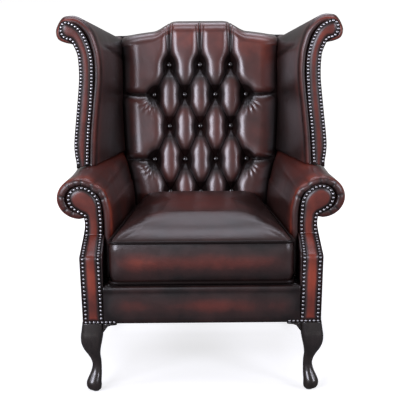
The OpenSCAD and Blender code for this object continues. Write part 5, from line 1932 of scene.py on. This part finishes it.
@dataclass
class Nails:
    """The decorative nails of arms, wings and outside back."""

    finishes: Finishes

    def row(self, name: str, line: Array, pitch: float,
            facing: tuple = FORWARD) -> bpy.types.Object:
        """Returns a row of nails along a line."""
        return StudRow(name, line, pitch, facing).grow(self.finishes.nickel)

    def arm(self, side: int, name: str) -> None:
        """Sets one arm's nails: the facing's outline and the hem over the leg.

        Args:
            side: 1 for the right, -1 for the left.
            name: The side's name.
        """
        x, z = arm_row().T
        dense = even(placed(x * side, LINES.face(z), z), 900)
        slope = (dense[:, 2] > LINES.knee_z + 0.0012) & (dense[:, 2] < LINES.neck_z - 0.0005)
        s = spans(dense)
        count = int(s[-1] / ARM_PITCH)
        step = float(s[-1]) / count
        at = np.arange(count + 1) * step
        sloped = slope[np.clip(np.searchsorted(s, at), 0, len(s) - 1)]
        made, k = [], 0
        while k <= count:
            end = k
            while end < count and sloped[end + 1] == sloped[k]:
                end += 1
            if end > k:
                part = pick(dense, s, np.linspace(at[k], at[end], (end - k) * 6 + 1))
                made.append(self.row(f"{name}_nails_{k}", part, step * 0.999,
                                     (0, -0.447, 0.894) if sloped[k] else FORWARD))
            k = end + 1
        hem = placed(np.array([0.335, 0.335 - 7 * ARM_PITCH]) * side, 0.0, 0.219)
        made.append(self.row(f"{name}_hem", hem, 0.01169))
        dress(joined(f"{name}_arm_studs", made), self.finishes.nickel, f"{name}_arm_nails")

    def wing(self, side: int, name: str) -> None:
        """Sets one wing's nails.

        Args:
            side: 1 for the right, -1 for the left.
            name: The side's name.
        """
        x, z = wing_row().T
        dress(self.row(f"{name}_wing_studs", placed(x * side, WING_FACE, z), 0.0104),
              self.finishes.nickel, f"{name}_wing_nails")

    def back(self) -> None:
        """Sets the nails down the sides of the outside back."""
        made = []
        for side, name in SIDES:
            for low, high, facing in ((0.221, 0.455, (0, 1, 0)),
                                      (0.479, LINES.top_roll_z, (0, 0.982, -0.191))):
                z = np.linspace(low, high, 12)
                line = placed(np.full(12, 0.309 * side), LINES.cover(z) + LINES.cover_t + 0.0002, z)
                made.append(self.row(f"{name}_back_{low}", line, 0.0238, facing))
        dress(joined("back_studs", made), self.finishes.nickel, "back_nails")

    def build(self) -> None:
        """Sets every nail."""
        for side, name in SIDES:
            self.arm(side, name)
            self.wing(side, name)
        self.back()


LEG_RINGS = ((0, 1.1, 0.0121, 2), (0.025, 1, 0.01892, 2.1), (0.075, 0.95, 0.022, 2.2),
             (0.13, 0.95, 0.02156, 2.2), (0.20, 1.067, 0.01892, 2.2), (0.27, 1.183, 0.01566, 2.2),
             (0.36, 1.25, 0.0135, 2.3), (0.44, 1.183, 0.01458, 2.5), (0.52, 1.033, 0.01755, 2.8),
             (0.61, 0.883, 0.024, 3.1), (0.70, 0.833, 0.02944, 3.4), (0.79, 0.867, 0.032, 3.6),
             (0.88, 0.933, 0.03152, 4), (1, 1, 0.030, 5))


@dataclass
class Legs:
    """Cabriole front legs with pad feet, raked rear legs, and the ears beside the knees."""

    finishes: Finishes
    foot_z: float = 0.003
    top_z: float = WOOD_FOOT
    middle: float = LINES.half_front

    def ring(self, cx: float, cy: float, r: float, square: float, z: float) -> Array:
        """Draws one rounded square outline of a leg.

        Args:
            cx: Its middle, to the side.
            cy: Its middle, to the rear.
            r: Half its width.
            square: How square it is, from 2 for a circle.
            z: Its height.

        Returns:
            The points in space.
        """
        a = np.linspace(0, 2 * math.pi, 49)[:-1]
        c, s = np.cos(a), np.sin(a)
        return placed(cx + r * np.sign(c) * np.abs(c) ** (2 / square),
                      cy + r * np.sign(s) * np.abs(s) ** (2 / square), np.full(48, z))

    def front(self, side: int, name: str) -> None:
        """Builds one cabriole leg.

        Args:
            side: 1 for the right, -1 for the left.
            name: The side's name.
        """
        rings = [self.ring(self.middle - inset * 0.030, inset * 0.030, r, square,
                           lerp(self.foot_z, self.top_z, share))
                 for share, inset, r, square in smooth(LEG_RINGS, 6)]
        dress(loft(rings).object(f"{name}_cabriole_leg", side < 0), self.finishes.stained,
              f"front_{name}_leg")

    def rear(self, side: int, name: str) -> None:
        """Builds one raked rear leg.

        Args:
            side: 1 for the right, -1 for the left.
            name: The side's name.
        """
        rings = []
        for t in np.linspace(0, 1, 24):
            w = (1 - t) ** 2
            rings.append(self.ring(0.2825 + 0.012 * w, 0.6226 + 0.062 * w,
                                   lerp(0.015, 0.022, t), 6, lerp(self.foot_z, self.top_z, t)))
        dress(loft(rings).object(f"{name}_raked_leg", side < 0), self.finishes.stained,
              f"rear_{name}_leg")

    def ears(self) -> None:
        """Builds the shaped ears beside the knees, with eased edges."""
        shape, leg = Shape(), 0.0604
        curve = [(-0.034 + 0.034 * math.cos(v), -0.028 + 0.021 * math.sin(v))
                 for v in np.radians(np.linspace(90, 0, 14))]
        line = even(np.array([(-0.0399, -0.0002), (-0.0399, -0.0069), *curve,
                              (0, -0.0002), (-0.0399, -0.0002)]), 41)[:-1]
        middle = line.mean(0)
        for side, _ in SIDES:
            for turned in (False, True):
                rows = []
                for depth, k in ((0.0, 0.90), (0.0015, 0.97), (0.004, 1), (0.018, 1),
                                 (0.022, 0.94)):
                    x, z = (middle + (line - middle) * (k, 1)).T
                    z = self.top_z + np.minimum(z, -0.0001)
                    if turned:
                        rows.append(placed((self.middle - 0.0066 - depth) * side, leg - x, z))
                    else:
                        rows.append(placed((self.middle - leg + x) * side, 0.0062 + depth, z))
                shape.grid(np.array(rows), around=True, caps=True)
        dress(shape.object("knee_ears"), self.finishes.stained, "left_knee_blocks",
              "right_knee_blocks")

    def build(self) -> None:
        """Builds the four legs and the ears."""
        for side, name in SIDES:
            self.front(side, name)
            self.rear(side, name)
        self.ears()


@dataclass
class HiddenFrame:
    """The carried-over frame: beech rails and posts, webbing, bolts, glides and dust cover."""

    finishes: Finishes

    def build(self, nodes: dict) -> None:
        """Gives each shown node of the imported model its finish.

        Args:
            nodes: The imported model's nodes by name.
        """
        grounds = {"webbing": self.finishes.jute, "glides": self.finishes.steel,
                   "bolts": self.finishes.steel, "dust": self.finishes.cloth}
        for name, piece in nodes.items():
            if piece.hide_render:
                continue
            finish = next((f for key, f in grounds.items() if key in name), self.finishes.beech)
            piece.data.materials.clear()
            piece.data.materials.append(finish.material)
            log.info("%s keeps its form, in %s", name, finish.material.name)


LAMPS = (
    ("left_front_box", (-2.35, -3.9, 1.95), (2.3, 1.7), 186, (0, 0, 0.75)),
    ("right_front_box", (3.0, -3.3, 1.95), (1.2, 1.6), 84, (0, 0, 0.75)),
    ("left_box", (-2.6, -1.4, 2.0), (1.0, 1.6), 26, (0, 0, 0.6)),
    ("right_box", (2.6, -1.2, 2.0), (1.0, 1.6), 22, (0, 0, 0.6)),
    ("top_box", (0, 0, 2.7), (2.4, 0.5), 20, (0, -0.1, 0.5)),
    ("crown_box", (0, 1.25, 2.6), (2.4, 0.5), 9, (0, 0, 0.9)),
    ("rear_box", (0, 3.0, 3.2), (2.0, 1.0), 20, (0, 0, 0.6)),
)


@dataclass
class Studio:
    """The plain pale room, its soft lamps and the camera at the photograph's angle."""

    camera_at: tuple = (0.0035, -3.581, 1.250)
    pitch: float = 11.86
    roll: float = 0.5
    lens: float = 104.2

    def floor(self) -> None:
        """Builds the floor that keeps the shadow and reads white to the camera."""
        bpy.ops.mesh.primitive_plane_add(size=60, location=(0, 0, 0))
        floor = bpy.context.object
        floor.name = "floor"
        n = Nodes("floor_white")
        ray = n.add("ShaderNodeLightPath").outputs
        seen = n.math("MAXIMUM", ray["Is Camera Ray"], ray["Is Transmission Ray"])
        far = n.add("ShaderNodeVectorMath", Vector=n.place())
        far.operation = "LENGTH"
        shares = [
            n.math("MULTIPLY", kind, n.add("ShaderNodeMapRange", Value=far.outputs["Value"],
                                           From_Min=near, From_Max=end, To_Min=low).outputs[0])
            for kind, near, end, low in ((seen, 0.5, 1.9, 0.64),
                                         (ray["Is Glossy Ray"], 3.0, 9.0, 0.0))]
        deep = n.math("SUBTRACT", 0.60, n.math("MULTIPLY", ray["Is Glossy Ray"], 0.46))
        grey = n.add("ShaderNodeCombineColor", Red=deep, Green=deep, Blue=deep).outputs[0]
        floor.data.materials.append(n.surface(
            Base_Color=grey, Roughness=0.9, Specular_IOR_Level=0.1, Emission_Color=(1, 1, 1, 1),
            Emission_Strength=n.math("ADD", *shares)))

    def walls(self) -> None:
        """Sets the world: white to the camera, dim as a light and in reflections."""
        world = bpy.data.worlds.new("room")
        bpy.context.scene.world = world
        world.use_nodes = True
        w = Wiring(world.node_tree)
        ray = w.add("ShaderNodeLightPath").outputs
        seen = w.math("MAXIMUM", ray["Is Camera Ray"], ray["Is Transmission Ray"])
        share = w.math("MULTIPLY_ADD", ray["Is Glossy Ray"], 0.10, seen)
        ground = w.tree.nodes["Background"].inputs
        w.feed(ground["Color"], (1, 1, 1, 1))
        w.feed(ground["Strength"], w.math("MULTIPLY_ADD", share, 0.86, 0.14))

    def lamps(self) -> None:
        """Hangs the soft boxes, each turned to its point."""
        for name, at, size, power, to in LAMPS:
            light = bpy.data.lights.new(name, "AREA")
            light.shape, light.energy, light.color = "RECTANGLE", power, (0.87, 0.87, 1.0)
            light.size, light.size_y = size
            lamp = put(name, light)
            lamp.location = at
            lamp.rotation_euler = (Vector(to) - Vector(at)).to_track_quat("-Z", "Y").to_euler()

    def build(self) -> None:
        """Builds the room and sets up the camera."""
        self.floor()
        self.walls()
        self.lamps()
        bpy.context.scene.view_settings.view_transform = "Standard"
        lens = bpy.data.cameras.new("camera")
        lens.lens, lens.sensor_width = self.lens, 36
        camera = put("camera", lens)
        camera.location = self.camera_at
        camera.rotation_euler = (math.radians(90 - self.pitch), math.radians(self.roll), 0)
        bpy.context.scene.camera = camera


def main() -> None:
    """Builds the chair in order and reports each piece."""
    logging.basicConfig(level=logging.INFO, format="%(message)s")
    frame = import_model()
    Studio().build()
    finishes = Finishes()
    for part in (TuftedBack, Arms, Wings, OutsideBack, Seat, SeatCushion, Legs, Nails):
        part(finishes).build()
    HiddenFrame(finishes).build(frame["nodes"])
    log.info("size written")


if __name__ == "__main__":
    main()
